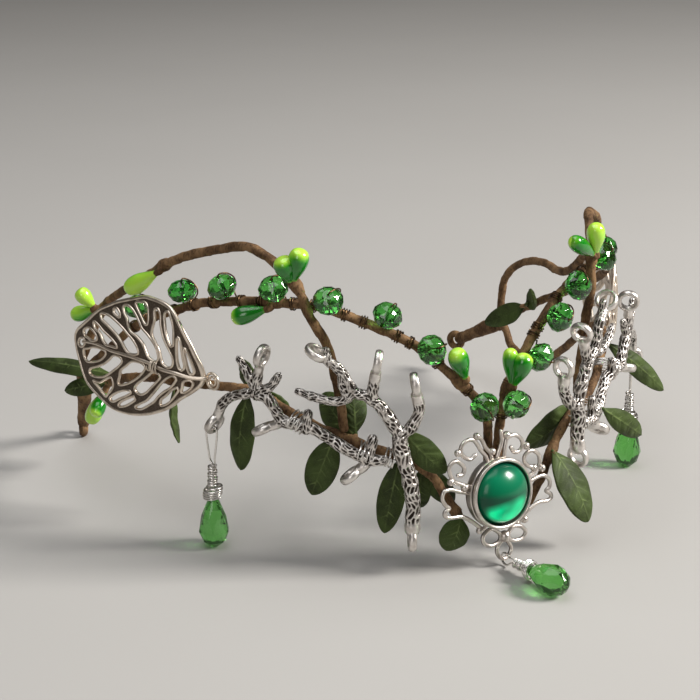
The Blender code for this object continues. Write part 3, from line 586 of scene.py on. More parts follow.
class Wired:
    """A value socket of a shader. Python's operators on it add Math nodes."""

    def __init__(self, shader: Shader, socket: Any) -> None:
        """Keeps the socket and the shader that it is in."""
        self.shader = shader
        self.socket = socket

    def maths(self, operation: str, other: Any, swapped: bool = False) -> Wired:
        """A Math node on this value and another, which is a number or a wired value."""
        first, second = (other, self) if swapped else (self, other)
        made = self.shader.node(
            "ShaderNodeMath", {"operation": operation}, {0: first, 1: second}
        )
        return Wired(self.shader, made.outputs[0])

    def __add__(self, other: Any) -> Wired:
        """Sum."""
        return self.maths("ADD", other)

    __radd__ = __add__

    def __sub__(self, other: Any) -> Wired:
        """Difference."""
        return self.maths("SUBTRACT", other)

    def __rsub__(self, other: Any) -> Wired:
        """Difference, the other way round."""
        return self.maths("SUBTRACT", other, swapped=True)

    def __mul__(self, other: Any) -> Wired:
        """Product."""
        return self.maths("MULTIPLY", other)

    __rmul__ = __mul__

    def between(self, low: float, high: float) -> Wired:
        """0 below low, 1 above high and a smooth rise between them."""
        made = self.shader.node(
            "ShaderNodeMapRange",
            {"interpolation_type": "SMOOTHSTEP"},
            {"Value": self, "From Min": low, "From Max": high, "To Min": 0.0, "To Max": 1.0},
        )
        return Wired(self.shader, made.outputs["Result"])


class Shader:
    """A material in the making."""

    def __init__(self, name: str) -> None:
        """Starts a material with a plain principled surface."""
        self.material = bpy.data.materials.new(name)
        self.material.use_nodes = True
        self.tree = self.material.node_tree
        self.surface = self.tree.nodes["Principled BSDF"]

    def node(self, kind: str, settings: dict[str, Any], inputs: dict[Any, Any]) -> Any:
        """Adds a node.

        Args:
            kind: the node's type.
            settings: its properties, set first.
            inputs: a value, a wired value or a socket for each of its inputs.

        Returns:
            The node.
        """
        made = self.tree.nodes.new(kind)
        for key, value in settings.items():
            if key == "stops":
                ramp = made.color_ramp
                while len(ramp.elements) < len(value):
                    ramp.elements.new(0.5)
                for element, (position, colour) in zip(ramp.elements, value):
                    element.position = position
                    element.color = (*colour, 1.0)
            else:
                setattr(made, key, value)
        for key, value in inputs.items():
            self.feed(made.inputs[key], value)
        return made

    def feed(self, socket: Any, value: Any) -> None:
        """Sets a socket to a number or colour, or links it."""
        if isinstance(value, Wired):
            self.tree.links.new(value.socket, socket)
        elif isinstance(value, bpy.types.NodeSocket):
            self.tree.links.new(value, socket)
        else:
            socket.default_value = value

    def attribute(self, name: str) -> Wired:
        """The value of a point attribute of the piece."""
        made = self.node("ShaderNodeAttribute", {"attribute_name": name}, {})
        return Wired(self, made.outputs["Fac"])

    def noise(self, scale: float, detail: float = 3.0, stretch: Row = (1.0, 1.0, 1.0)) -> Wired:
        """Noise over the piece's own coordinates, with scale in cells a metre."""
        place = self.node("ShaderNodeTexCoord", {}, {})
        mapping = self.node(
            "ShaderNodeMapping", {}, {"Vector": place.outputs["Object"], "Scale": stretch}
        )
        made = self.node(
            "ShaderNodeTexNoise",
            {},
            {"Vector": mapping.outputs["Vector"], "Scale": scale, "Detail": detail},
        )
        return Wired(self, made.outputs["Fac"])

    def mix(self, factor: Any, first: Any, second: Any) -> Any:
        """Colour between two colours."""
        first, second = (
            (*c, 1.0) if isinstance(c, tuple) and len(c) == 3 else c for c in (first, second)
        )
        made = self.node(
            "ShaderNodeMix", {"data_type": "RGBA"}, {0: factor, 6: first, 7: second}
        )
        return made.outputs[2]

    def ramp(self, value: Wired, stops: Sequence[tuple[float, Colour]]) -> Any:
        """Colour of a ramp at a value."""
        return self.node("ShaderNodeValToRGB", {"stops": stops}, {0: value}).outputs["Color"]

    def bump(self, height: Wired, depth: float, strength: float = 1.0) -> None:
        """Feeds the surface's normal from a height, with its depth in mm."""
        made = self.node(
            "ShaderNodeBump", {}, {"Height": height, "Distance": depth * MM, "Strength": strength}
        )
        self.feed(self.surface.inputs["Normal"], made.outputs["Normal"])

    def set(self, **values: Any) -> None:
        """Sets or links inputs of the surface, with _ for a space in their names."""
        for key, value in values.items():
            if isinstance(value, tuple) and len(value) == 3:
                value = (*value, 1.0)
            self.feed(self.surface.inputs[key.replace("_", " ")], value)


@dataclass(frozen=True)
class TapeFinish:
    """Brown florist's tape: matt crepe with paler and darker fibres, and painted shade in its laps
    and creases, so its raised folds stay paler.
    """

    name: str
    # dark is the colour of the tape's darker fibres and of the painted shade in its laps.
    dark: Colour = (0.022, 0.011, 0.005)
    body: Colour = (0.076, 0.039, 0.017)
    pale: Colour = (0.235, 0.138, 0.066)

    def build(self) -> bpy.types.Material:
        """Builds the material."""
        shader = Shader(self.name)
        relief = shader.attribute(RELIEF)
        blotch = shader.noise(190.0, 3.0)
        fibre = shader.noise(1900.0, 4.0, (1.0, 1.0, 0.45))
        tone = shader.mix(blotch.between(0.36, 0.66), self.body, self.pale)
        tone = shader.mix(fibre.between(0.5, 0.78) * 0.55, tone, self.pale)
        tone = shader.mix(fibre.between(0.52, 0.3) * 0.6, tone, self.dark)
        # Painted shade: darker where relief is low, in the laps and in the wrinkles' troughs.
        tone = shader.mix(relief.between(0.6, 0.1), tone, self.dark)
        shader.set(
            Base_Color=tone,
            Roughness=0.66 + 0.2 * fibre,
            Specular_IOR_Level=0.2,
        )
        shader.bump(fibre + 0.7 * shader.noise(5200.0, 2.0), 0.12, 0.7)
        return shader.material


@dataclass(frozen=True)
class SilverFinish:
    """Antiqued silver: bright where it is raised and rubbed, blackened in its hollows."""

    name: str
    bright: Colour = (0.80, 0.77, 0.73)
    worn: Colour = (0.46, 0.42, 0.38)
    black: Colour = (0.030, 0.023, 0.018)
    gloss: float = 0.24
    black_from: float = 0.78

    def build(self) -> bpy.types.Material:
        """Builds the material."""
        shader = Shader(self.name)
        relief = shader.attribute(RELIEF)
        cloud = shader.noise(420.0, 4.0)
        grain = shader.noise(2600.0, 3.0)
        tone = shader.mix(cloud.between(0.42, 0.72) * 0.7, self.bright, self.worn)
        tone = shader.mix((relief + 0.2 * grain).between(self.black_from, 0.3), tone, self.black)
        shader.set(
            Base_Color=tone,
            Metallic=0.72 + 0.28 * relief.between(0.1, 0.5),
            Roughness=self.gloss + 0.16 * cloud + 0.4 * relief.between(0.7, 0.1),
        )
        shader.bump(grain, 0.04, 0.5)
        return shader.material


@dataclass(frozen=True)
class GlassFinish:
    """Clear coloured glass with faint streaks in its colour."""

    name: str
    deep: Colour
    clear: Colour
    roughness: float = 0.015
    index: float = 1.55
    streak: float = 160.0

    def build(self) -> bpy.types.Material:
        """Builds the material."""
        shader = Shader(self.name)
        streak = shader.noise(self.streak, 2.0, (1.0, 1.0, 0.5))
        tone = shader.mix(streak.between(0.3, 0.7), self.deep, self.clear)
        shader.set(
            Base_Color=tone,
            Roughness=self.roughness + 0.02 * streak,
            Transmission_Weight=1.0,
            IOR=self.index,
        )
        return shader.material


@dataclass(frozen=True)
class CabochonFinish:
    """Emerald glass over foil, with painted shade and light: a painted shade band across its
    middle, a darker painted rim, a lighter painted crown and a painted glow of gathered light low
    down, which emits light.
    """

    name: str
    # The rim colour is painted shade at the stone's edge, the band colour painted shade across its
    # middle, the crown colour painted light near its top, and bright the colour of the painted
    # glow.
    rim: Colour = (0.0, 0.040, 0.022)
    band: Colour = (0.0, 0.045, 0.022)
    body: Colour = (0.0, 0.105, 0.045)
    crown: Colour = (0.0, 0.150, 0.068)
    bright: Colour = (0.0, 0.68, 0.28)

    def build(self) -> bpy.types.Material:
        """Builds the material."""
        shader = Shader(self.name)
        along = shader.attribute(ALONG)
        glow = shader.attribute(RELIEF)
        cloud = shader.noise(70.0, 2.0)
        # Painted shade and light by the place along the stone: dark at its edge and across its
        # middle, lighter near its top.
        tone = shader.ramp(
            along + 0.1 * (cloud - 0.5),
            (
                (0.0, self.rim),
                (0.16, self.body),
                (0.36, self.band),
                (0.47, self.band),
                (0.56, self.body),
                (0.82, self.crown),
                (1.0, self.rim),
            ),
        )
        # Painted glow: where the glow mask is high the stone is bright and emits light, though it
        # is no lamp.
        shader.set(
            Base_Color=shader.mix(glow, tone, self.bright),
            Emission_Color=shader.mix(glow, (0.0, 0.012, 0.005), self.bright),
            Emission_Strength=0.75,
            Roughness=0.35 + 0.1 * cloud,
            Specular_IOR_Level=0.05,
            Coat_Weight=1.0,
            Coat_Roughness=0.2,
            Coat_IOR=1.36,
        )
        return shader.material


@dataclass(frozen=True)
class BudFinish:
    """Glossy lacquer, pale at the round end, deep green on one cheek and pale at the stem; a bud
    with a large depth is deep all over as painted shade.
    """

    name: str
    pale: Colour = (0.42, 0.72, 0.06)
    bright: Colour = (0.10, 0.52, 0.010)
    deep: Colour = (0.0, 0.17, 0.002)

    def build(self) -> bpy.types.Material:
        """Builds the material."""
        shader = Shader(self.name)
        along = shader.attribute(ALONG)
        cheek = shader.attribute(RELIEF)
        cloud = shader.noise(260.0, 2.0)
        place = along + 0.16 * (cloud - 0.5)
        cap = place - 0.15 * cheek.between(1.2, 1.8)
        inner = place.between(0.06, 0.24) * cap.between(0.96, 0.74)
        tone = shader.mix(cheek.between(0.1, 0.5) * inner, self.pale, self.bright)
        # The deep green side is partly the lacquer's own second tone and partly painted shade: a
        # bud with a large depth is painted deep all over.
        green = cheek.between(0.25, 0.65)
        shader.set(
            Base_Color=shader.mix(green * inner, tone, self.deep),
            Roughness=0.16 + 0.12 * cloud,
            Coat_Weight=0.5,
            Coat_Roughness=0.08,
            Subsurface_Weight=0.08,
            Subsurface_Scale=0.001,
        )
        shader.bump(cloud, 0.1, 0.3)
        return shader.material


@dataclass(frozen=True)
class LeafFinish:
    """Stiffened leaf cloth: dark olive with pale embossed veins and a fine weave."""

    name: str
    deep: Colour = (0.024, 0.036, 0.008)
    body: Colour = (0.048, 0.074, 0.017)
    vein: Colour = (0.160, 0.215, 0.070)

    def build(self) -> bpy.types.Material:
        """Builds the material."""
        shader = Shader(self.name)
        relief = shader.attribute(RELIEF)
        cloud = shader.noise(150.0, 3.0)
        weave = shader.noise(4200.0, 2.0)
        tone = shader.mix(cloud.between(0.36, 0.64), self.deep, self.body)
        tone = shader.mix(weave.between(0.5, 0.75) * 0.25, tone, self.vein)
        worn = relief.between(0.3, 0.95) * (0.3 + 0.7 * shader.noise(420.0, 2.0).between(0.42, 0.6))
        tone = shader.mix(0.8 * worn, tone, self.vein)
        shader.set(
            Base_Color=tone,
            Roughness=0.5 + 0.16 * weave,
            Specular_IOR_Level=0.2,
        )
        shader.bump(weave + 1.4 * cloud, 0.1, 0.5)
        return shader.material


@dataclass(frozen=True)
class BronzeFinish:
    """Thin dark craft wire: brown lacquer worn to copper here and there."""

    name: str
    dark: Colour = (0.045, 0.026, 0.014)
    worn: Colour = (0.21, 0.125, 0.058)

    def build(self) -> bpy.types.Material:
        """Builds the material."""
        shader = Shader(self.name)
        wear = shader.noise(900.0, 3.0)
        shader.set(
            Base_Color=shader.mix(wear.between(0.42, 0.68), self.dark, self.worn),
            Metallic=0.9,
            Roughness=0.28 + 0.2 * wear,
        )
        return shader.material


# Taped wires


@dataclass
class Tape:
    """How the tape lies on a wire: its lap's pitch and height, and how rough it is."""

    pitch: float = 6.5
    lap: float = 0.17
    lump: float = 0.14
    wrinkle: float = 0.09
    sides: int = 24
    step: float = WIRE_STEP

    def wrap(self, path: Sequence[Vector], radii: Any, seed: float, closed: bool = False) -> Raw:
        """Winds tape along a path.

        Args:
            path: the wire's points, about a step apart.
            radii: one radius, or one a point.
            seed: a number that sets this wire's folds apart.
            closed: whether the path ends where it starts.

        Returns:
            The taped wire.
        """
        points = np.array([tuple(p) for p in path], float)
        spans = np.linalg.norm(np.diff(points, axis=0), axis=1)
        where = np.concatenate([[0], np.cumsum(spans)])
        turn = np.arange(self.sides) / self.sides
        base = np.broadcast_to(np.array(radii, float).reshape(-1), (len(points),))
        wobble = np.array([noise.noise(Vector((s / 9.0, seed, 0.3))) for s in where])
        lap = (where[:, None] / self.pitch + turn[None, :] + 0.35 * wobble[:, None] + seed) % 1.0
        rise = np.clip(lap / 0.06, 0, 1)
        rise = rise * rise * (3 - 2 * rise)
        fold = self.lap * ((1 - lap) * rise - 0.5)
        lump = np.array([noise.noise(Vector((s / 3.4, seed + 7.1, 0.9))) for s in where])
        round_way = 2 * np.pi * turn
        wrinkle = np.empty_like(lap)
        for i, s in enumerate(where):
            for j, angle in enumerate(round_way):
                x, y = math.cos(angle) * 1.7 + seed, math.sin(angle) * 1.7
                wrinkle[i, j] = noise.noise(Vector((s * 0.55 + angle * 0.5, x, y)))
        radius = base[:, None] + fold + self.lump * lump[:, None] + self.wrinkle * wrinkle
        # relief is low at each lap's edge and in the wrinkles' troughs; the tape's finish paints
        # shade there.
        relief = np.clip(0.25 + 0.75 * rise * (1 - 0.25 * lap) + 0.5 * wrinkle, 0, 1)
        return swept(path, radius, self.sides, closed, relief)


@dataclass
class Rod:
    """The taped rod at one rear end, which three wires end at and which ends in an eyelet."""

    side: Side
    start: Row
    eyelet: Row
    flat_way: Row
    gap: float = 0.3
    start_radius: float = 2.9
    end_radius: float = 2.1
    eyelet_radius: float = 2.4
    eyelet_wire: float = 1.2
    inset: float = 1.4
    wires_beside: float = 1.78
    wires_lead: float = 3.5

    def __post_init__(self) -> None:
        """Works out its axes."""
        self.foot = Vector(self.start) + FRAME_SHIFT
        self.eye = Vector(self.eyelet) + FRAME_SHIFT
        self.way = (self.eye - self.foot).normalized()
        self.across = self.way.cross(Vector(self.flat_way)).normalized()
        self.up = self.across.cross(self.way).normalized()

    def wire_end(self, angle_deg: float) -> list[Vector]:
        """Last two points of a wire that ends just before the rod."""
        angle = math.radians(angle_deg)
        beside = (self.across * math.cos(angle) + self.up * math.sin(angle)) * self.wires_beside
        end = self.foot + beside - self.way * self.gap
        return [end - self.way * self.wires_lead + beside * 0.25, end]

    def build(self, tape: Tape, material: bpy.types.Material) -> None:
        """Makes the rod with its eyelet."""
        end = self.eye - self.way * (self.eyelet_radius + 0.2)
        start = self.foot + self.way * self.inset
        path = smooth([start, self.foot.lerp(end, 0.5), end], tape.step)
        last, slim = len(path) - 1, self.end_radius - self.start_radius
        radii = [self.start_radius - 0.1 + slim * min(1, 1.6 * k / last) for k in range(last + 1)]
        rod = tape.wrap(path, radii, 3.7 + self.side.value)
        count = round(2 * math.pi * self.eyelet_radius / tape.step)
        frame = stand(self.eye, self.flat_way)
        circle = [
            frame @ Vector(polar(self.eyelet_radius, 2 * math.pi * k / count))
            for k in range(count)
        ]
        fine = Tape(pitch=2 * math.pi * self.eyelet_radius / 3, lap=0.12, lump=0.0, wrinkle=0.07)
        eyelet = fine.wrap(circle, self.eyelet_wire - 0.03, 1.9, closed=True)
        name = f"end_loop_{self.side.word}"
        piece(f"{name}_taped", Raw.joined([rod, eyelet]), material, [name], Slot.TAPE)


@dataclass
class Wire:
    """One taped wire: its rows of (along the head line, height, out) and its end at the rod."""

    name: str
    rows: tuple[Row, ...]
    angle: float
    radius: float = 1.3
    path: list[Vector] = field(default_factory=list)

    def build(self, rod: Rod, tape: Tape, material: bpy.types.Material, seed: float) -> None:
        """Makes the wire."""
        corners = [HEAD.place(*row) for row in self.rows] + rod.wire_end(self.angle)
        # The CAD wire's own corners keep the fine one on its line.
        self.path = smooth(smooth(corners, CAD_WIRE_STEP), tape.step)
        taped = tape.wrap(self.path[2:-2], self.radius - 0.02, seed)
        piece(f"{self.name}_taped", taped, material, [self.name], Slot.TAPE)

    def nearest(self, point: Vector) -> int:
        """Index of its point that is nearest to this one."""
        return min(range(len(self.path)), key=lambda k: (self.path[k] - point).length)


VINE_LEFT: tuple[Row, ...] = (
    (-1.6, 11, 1.4), (-1.6, 20, 0.1), (-1.6, 29, -1.2), (-1.7, 35, -1.2), (-2.6, 40, -0.4),
    (-4.4, 44, 0), (-6.7, 47.5, 0), (-10.3, 51.2, 0), (-16.5, 57.2, 0), (-23.7, 63.2, 0),
    (-34.8, 68.4, 0), (-46.7, 72.2, 0), (-62.2, 72.2, 0), (-71.5, 71, 0), (-84, 68.4, 0),
    (-101, 61.7, 0), (-115, 55.5, 0), (-128, 48, 0.3), (-140, 40, 1.6),
)  # fmt: skip
VINE_RIGHT: tuple[Row, ...] = (
    (1.6, 11, 1.3), (1.6, 20, 0.0), (1.6, 29, -1.3), (1.6, 35, -1.3), (1.6, 40, -0.4),
    (2, 45.3, 0), (3.4, 49.2, 0), (5.8, 53.6, 0), (8.7, 58.1, 0), (12.1, 62.5, 0),
    (15.7, 66.5, 0), (20, 70.3, 0), (28.9, 74.2, 0), (38.3, 75, 0), (48, 73.5, 0), (60, 70, 0),
    (75, 63.5, 0), (90, 57, 0), (104, 50.6, 0), (117, 44.6, 0), (127, 40, 0), (138, 34.2, 0),
    (147, 29, 0.6),
)  # fmt: skip
ARCH_LEFT: tuple[Row, ...] = (
    (-41.6, 38.6, 0), (-42.7, 47, -0.3), (-44, 53, -0.7), (-45.6, 59.6, -0.9), (-47, 63.5, -0.3),
    (-48.4, 67, 1.4), (-49.8, 70.6, 3.1), (-51.4, 75, 3.3), (-53.2, 78.4, 3.1), (-56.5, 81.8, 2.8),
    (-62.5, 85.4, 2), (-69, 86.6, 1), (-79.6, 83.8, 0), (-91, 80, 0), (-100.4, 75.7, 0),
    (-111, 69.8, 0), (-126, 62.2, 0.3), (-140, 54.5, 1.4), (-149, 45.5, 2.8),
)  # fmt: skip
ARCH_RIGHT: tuple[Row, ...] = (
    (33, 39.4, 0), (34.2, 45, -0.4), (36.2, 52, -0.4), (37.2, 60, -0.2), (36, 66.5, 1.2),
    (33, 71, 2.8), (31.8, 75.4, 3.2), (32.6, 81, 2.6), (35.2, 86.6, 0.6), (39.5, 89.4, -1.6),
    (46, 88.2, -2.8), (56, 84.5, -3), (68, 78.6, -3.2), (80, 71.4, -3.4), (90, 64.6, -3.6),
    (99, 59, -3.4), (108, 54.6, -3), (117, 52.6, -2), (126, 52.4, -0.8), (136.4, 50.5, 0),
    (146, 46, 0.4), (152.5, 39, 1),
)  # fmt: skip
LOWER_LEFT: tuple[Row, ...] = (
    (-11, 14.5, 0.6), (-12.6, 17.2, 0.3), (-14.8, 20.8, 0), (-17.1, 24.8, 0), (-19.9, 28.1, 0),
    (-25.4, 31.6, 0), (-35.2, 34.6, 0), (-46.8, 38.4, 0), (-56.7, 42.3, 0), (-65, 45.8, 0),
    (-73, 46.3, 0), (-87, 44.6, 0), (-105, 41.5, 0), (-122, 37, 0.2), (-138, 31, 1.2),
    (-147, 28, 2.4),
)  # fmt: skip
LOWER_RIGHT: tuple[Row, ...] = (
    (11, 13.5, 0.6), (12.6, 15.6, 0.4), (15.6, 18.5, 0.1), (19, 23.8, 0), (23.5, 30, 0),
    (29, 34.2, 0), (36, 35.8, 0.2), (45, 39.2, 0.4), (60, 43.8, 0), (74, 45.8, 0), (87, 43, 0),
    (101, 36, 0), (113, 27.5, 0), (123, 20.8, 0), (131, 17.4, 0), (140, 17, 0.3), (147, 18.2, 0.8),
)  # fmt: skip


@dataclass
class WireFrame:
    """The six taped wires and the two rods with their eyelets."""

    tape: Tape = field(default_factory=Tape)
    finish: TapeFinish = TapeFinish("florist_tape")
    wires: dict[str, Wire] = field(default_factory=dict)

    def build(self) -> None:
        """Makes them all."""
        self.material = self.finish.build()
        rods = {
            Side.LEFT: Rod(Side.LEFT, (-76.0, 47.0, 29.6), (-71.2, 67.0, 3.75), (0.895, -0.446, 0)),
            Side.RIGHT: Rod(Side.RIGHT, (71.6, 48.0, 23.5), (67.2, 68.0, 12.2), (0.895, 0.446, 0)),
        }
        tables = (
            (Side.LEFT, "vine", VINE_LEFT, 90),
            (Side.LEFT, "arch", ARCH_LEFT, 200),
            (Side.LEFT, "lower", LOWER_LEFT, 340),
            (Side.RIGHT, "vine", VINE_RIGHT, 90),
            (Side.RIGHT, "arch", ARCH_RIGHT, 200),
            (Side.RIGHT, "lower", LOWER_RIGHT, 340),
        )
        for number, (side, word, rows, angle) in enumerate(tables):
            wire = Wire(f"{word}_wire_{side.word}", rows, angle)
            wire.build(rods[side], self.tape, self.material, 2.3 * number + 0.4)
            self.wires[wire.name] = wire
        for rod in rods.values():
            rod.build(self.tape, self.material)


# Beads


def cut_stone(rings: Sequence[Row], sides: int, edge: float) -> bpy.types.Object:
    """A cut stone, made as the hull of rings of corners with lightly broken edges.

    Args:
        rings: the radius, height and turn in facets of each ring.
        sides: corners of a ring.
        edge: width of the broken edges, in mm.

    Returns:
        The stone's object, in mm.
    """
    made = bmesh.new()
    for radius, height, offset in rings:
        if radius < POLE_RADIUS:
            made.verts.new((0, 0, height))
            continue
        for i in range(sides):
            made.verts.new(polar(radius, 2 * math.pi * (i + offset) / sides, height))
    bmesh.ops.convex_hull(made, input=list(made.verts))
    bmesh.ops.dissolve_limit(
        made, angle_limit=math.radians(1.0), verts=list(made.verts), edges=list(made.edges)
    )
    bmesh.ops.recalc_face_normals(made, faces=made.faces)
    mesh = bpy.data.meshes.new("stone")
    made.to_mesh(mesh)
    made.free()
    obj = linked(mesh)
    bevel = obj.modifiers.new("edges", "BEVEL")
    bevel.width = edge
    bevel.segments = 1
    bevel.limit_method = "ANGLE"
    bevel.angle_limit = math.radians(8)
    return obj


@dataclass
class CrystalBeads:
    """Faceted glass beads, each tied on its vine by a thin dark wire through its hole."""

    left: tuple[tuple[float, float], ...] = (
        (-5.8, 92), (-20.9, 58), (-32.2, 12), (-45.8, 42), (-60.2, 22), (-75.4, 18), (-92.4, -12),
        (-115, 0),
    )  # fmt: skip
    right: tuple[tuple[float, float], ...] = (
        (2.2, 104), (8.8, 124), (16.2, 92), (24.4, 68), (38.5, 50), (47.0, 10),
    )  # fmt: skip
    girdle: float = 4.0
    half_height: float = 3.0
    hole: float = 0.5
    sides: int = 12
    gap: float = 0.4
    wire_radius: float = 0.21
    turns: float = 2.5
    points_a_turn: int = 14
    first_wraps: tuple[float, float] = (-5.6, -3.9)
    last_wraps: tuple[float, float] = (3.7, 5.4)
    glass: GlassFinish = GlassFinish("bead_crystal", (0.05, 0.44, 0.05), (0.20, 0.70, 0.15))
    bronze: BronzeFinish = BronzeFinish("bead_wire_bronze")

    def cut(self) -> Raw:
        """One bead about z, with its hole.

        Returns:
            The bead.
        """
        g, h = self.girdle, self.half_height
        rings = (
            (0.36 * g, h, 0.0), (0.71 * g, 0.78 * h, 0.5), (g, 0.2 * h, 0.0),
            (g, -0.2 * h, 0.5), (0.71 * g, -0.78 * h, 0.0), (0.36 * g, -h, 0.5),
        )  # fmt: skip
        stone = cut_stone(rings, self.sides, 0.05)
        drill = bmesh.new()
        bmesh.ops.create_cone(
            drill, cap_ends=True, segments=20, radius1=self.hole, radius2=self.hole, depth=3 * h
        )
        cutter_mesh = bpy.data.meshes.new("drill")
        drill.to_mesh(cutter_mesh)
        drill.free()
        cutter = linked(cutter_mesh)
        cut = stone.modifiers.new("hole", "BOOLEAN")
        cut.operation = "DIFFERENCE"
        cut.solver = "EXACT"
        cut.object = cutter
        made = Raw.of(evaluated(stone))
        bpy.data.objects.remove(cutter)
        bpy.data.meshes.remove(cutter_mesh)
        return made

    def spot(
        self, rows: tuple[Row, ...], along: float, lean_deg: float
    ) -> tuple[Vector, Vector, Vector]:
        """Works out how a bead stands on its vine.

        Args:
            rows: the vine's rows.
            along: the bead's place.
            lean_deg: its lean, 0 up in the wall and 90 outwards.

        Returns:
            The vine's point there, the vine's direction and the bead's axis.
        """
        known = sorted(row for row in rows if row[1] > 40)
        lengths = [row[0] for row in known]

        def at(where: float) -> Vector:
            """Point of the vine at this place."""
            height, out = (
                float(np.interp(where, lengths, [row[k] for row in known])) for k in (1, 2)
            )
            return HEAD.place(where, height, out)

        point, way = at(along), (at(along + 1.5) - at(along - 1.5)).normalized()
        out = HEAD.outward(along)
        out = (out - way * out.dot(way)).normalized()
        up = out.cross(way).normalized()
        up = up if up.z > 0 else -up
        lean = math.radians(lean_deg)
        return point, way, up * math.cos(lean) + out * math.sin(lean)

    def tie(
        self, wire: Wire, point: Vector, way: Vector, axis: Vector, back: Vector
    ) -> list[Vector]:
        """The thin wire of one bead: wraps, up through the hole, over its back, wraps.

        Args:
            wire: the vine.
            point: the vine's point under the bead.
            way: the vine's direction.
            axis: the bead's axis.
            back: the way to the inside of the head.

        Returns:
            The thin wire's points.
        """
        reach = wire.radius + self.wire_radius + 0.1
        middle = wire.nearest(point)

        def wraps(start: float, end: float) -> list[Vector]:
            """Turns round the vine between two distances from the bead."""
            result = []
            count = round(self.turns * self.points_a_turn)
            for k in range(count + 1):
                share = k / count
                spot = (start + (end - start) * share) / WIRE_STEP + middle
                low = max(0, min(len(wire.path) - 2, math.floor(spot)))
                centre = wire.path[low].lerp(wire.path[low + 1], spot - low)
                tangent = (wire.path[low + 1] - wire.path[low]).normalized()
                if tangent.dot(way) < 0:
                    tangent = -tangent
                first = (axis - tangent * axis.dot(tangent)).normalized()
                second = tangent.cross(first)
                angle = 2 * math.pi * self.turns * share + (math.pi if start < 0 else 0.0)
                result.append(
                    centre + (first * math.cos(angle) + second * math.sin(angle)) * reach
                )
            return result

        sign = 1.0 if (wire.path[middle + 1] - wire.path[middle]).dot(way) > 0 else -1.0
        before = wraps(*(where * sign for where in self.first_wraps))
        after = wraps(*(where * sign for where in self.last_wraps))
        h, g = self.half_height, self.girdle
        centre = point + axis * (wire.radius + self.gap + h)
        side = (back + way * 0.35).normalized()
        side = (side - axis * side.dot(axis)).normalized()
        over = [
            centre - axis * (h + 0.1),
            centre,
            centre + axis * (h + 0.1),
            centre + axis * (h + 0.55) + side * 0.5,
            centre + axis * (h + 0.35) + side * 1.5,
            centre + axis * (0.8 * h) + side * (0.78 * g),
            centre + axis * (0.2 * h) + side * (g + 0.3),
            centre - axis * (0.35 * h) + side * (g + 0.2),
            centre - axis * (0.9 * h) + side * (0.72 * g),
        ]
        lead = before[-1] + (centre - axis * (h + 0.22) - before[-1]) * 0.7
        return before + smooth([before[-1], lead] + over + [after[0]], 0.5)[1:-1] + after

    def build(self, wires: dict[str, Wire], sweep: SweepTree) -> None:
        """Makes the beads and their wires."""
        glass, bronze = self.glass.build(), self.bronze.build()
        bead = self.cut()
        for side, table, rows in (
            (Side.LEFT, VINE_LEFT, self.left),
            (Side.RIGHT, VINE_RIGHT, self.right),
        ):
            ties = []
            wire = wires[f"vine_wire_{side.word}"]
            for number, (along, lean_deg) in enumerate(rows, 1):
                point, way, axis = self.spot(table, along, lean_deg)
                centre = point + axis * (wire.radius + self.gap + self.half_height)
                name = f"bead_{side.word}_{number}"
                stone = bead.moved(stand(centre, axis))
                piece(f"{name}_crystal", stone, glass, [name], Slot.BEAD, is_smooth=False)
                ties.append(self.tie(wire, point, way, axis, -HEAD.outward(along)))
            name = f"bead_ties_{side.word}"
            piece(name, sweep.draw(ties, self.wire_radius, 8, bronze), bronze)


# Centre setting


class StudTree(ShapeTree):
    """Stands a small ball on every point of a mesh."""

    RADIUS = "stud_radius"
    SUBDIVISIONS = 3

    def __init__(self) -> None:
        """Builds the tree, which takes each ball's radius from a point attribute."""
        super().__init__(
            "stand_studs", {"Places": "Geometry", "Detail": "Int", "Finish": "Material"}
        )
        ico = self.add("GeometryNodeMeshIcoSphere")
        ico.inputs["Radius"].default_value = 1.0
        size = self.add("GeometryNodeInputNamedAttribute")
        size.data_type = "FLOAT"
        size.inputs["Name"].default_value = self.RADIUS
        copies = self.add("GeometryNodeInstanceOnPoints")
        self.link(self.start, "Detail", ico, "Subdivisions")
        self.link(self.start, "Places", copies, "Points")
        self.link(ico, "Mesh", copies, "Instance")
        self.link(size, "Attribute", copies, "Scale")
        self.close(copies, "Instances")

    def draw(self, balls: Sequence[Row], material: bpy.types.Material) -> Raw:
        """Stands the balls, which are (across, up, radius) rows, in their own plane."""
        mesh = bpy.data.meshes.new("places")
        mesh.from_pydata([(x, y, 0.1) for x, y, _ in balls], [], [])
        sizes = mesh.attributes.new(self.RADIUS, "FLOAT", "POINT")
        sizes.data.foreach_set("value", [radius for _, _, radius in balls])
        return Raw.of(self.run(mesh, self.SUBDIVISIONS, material))


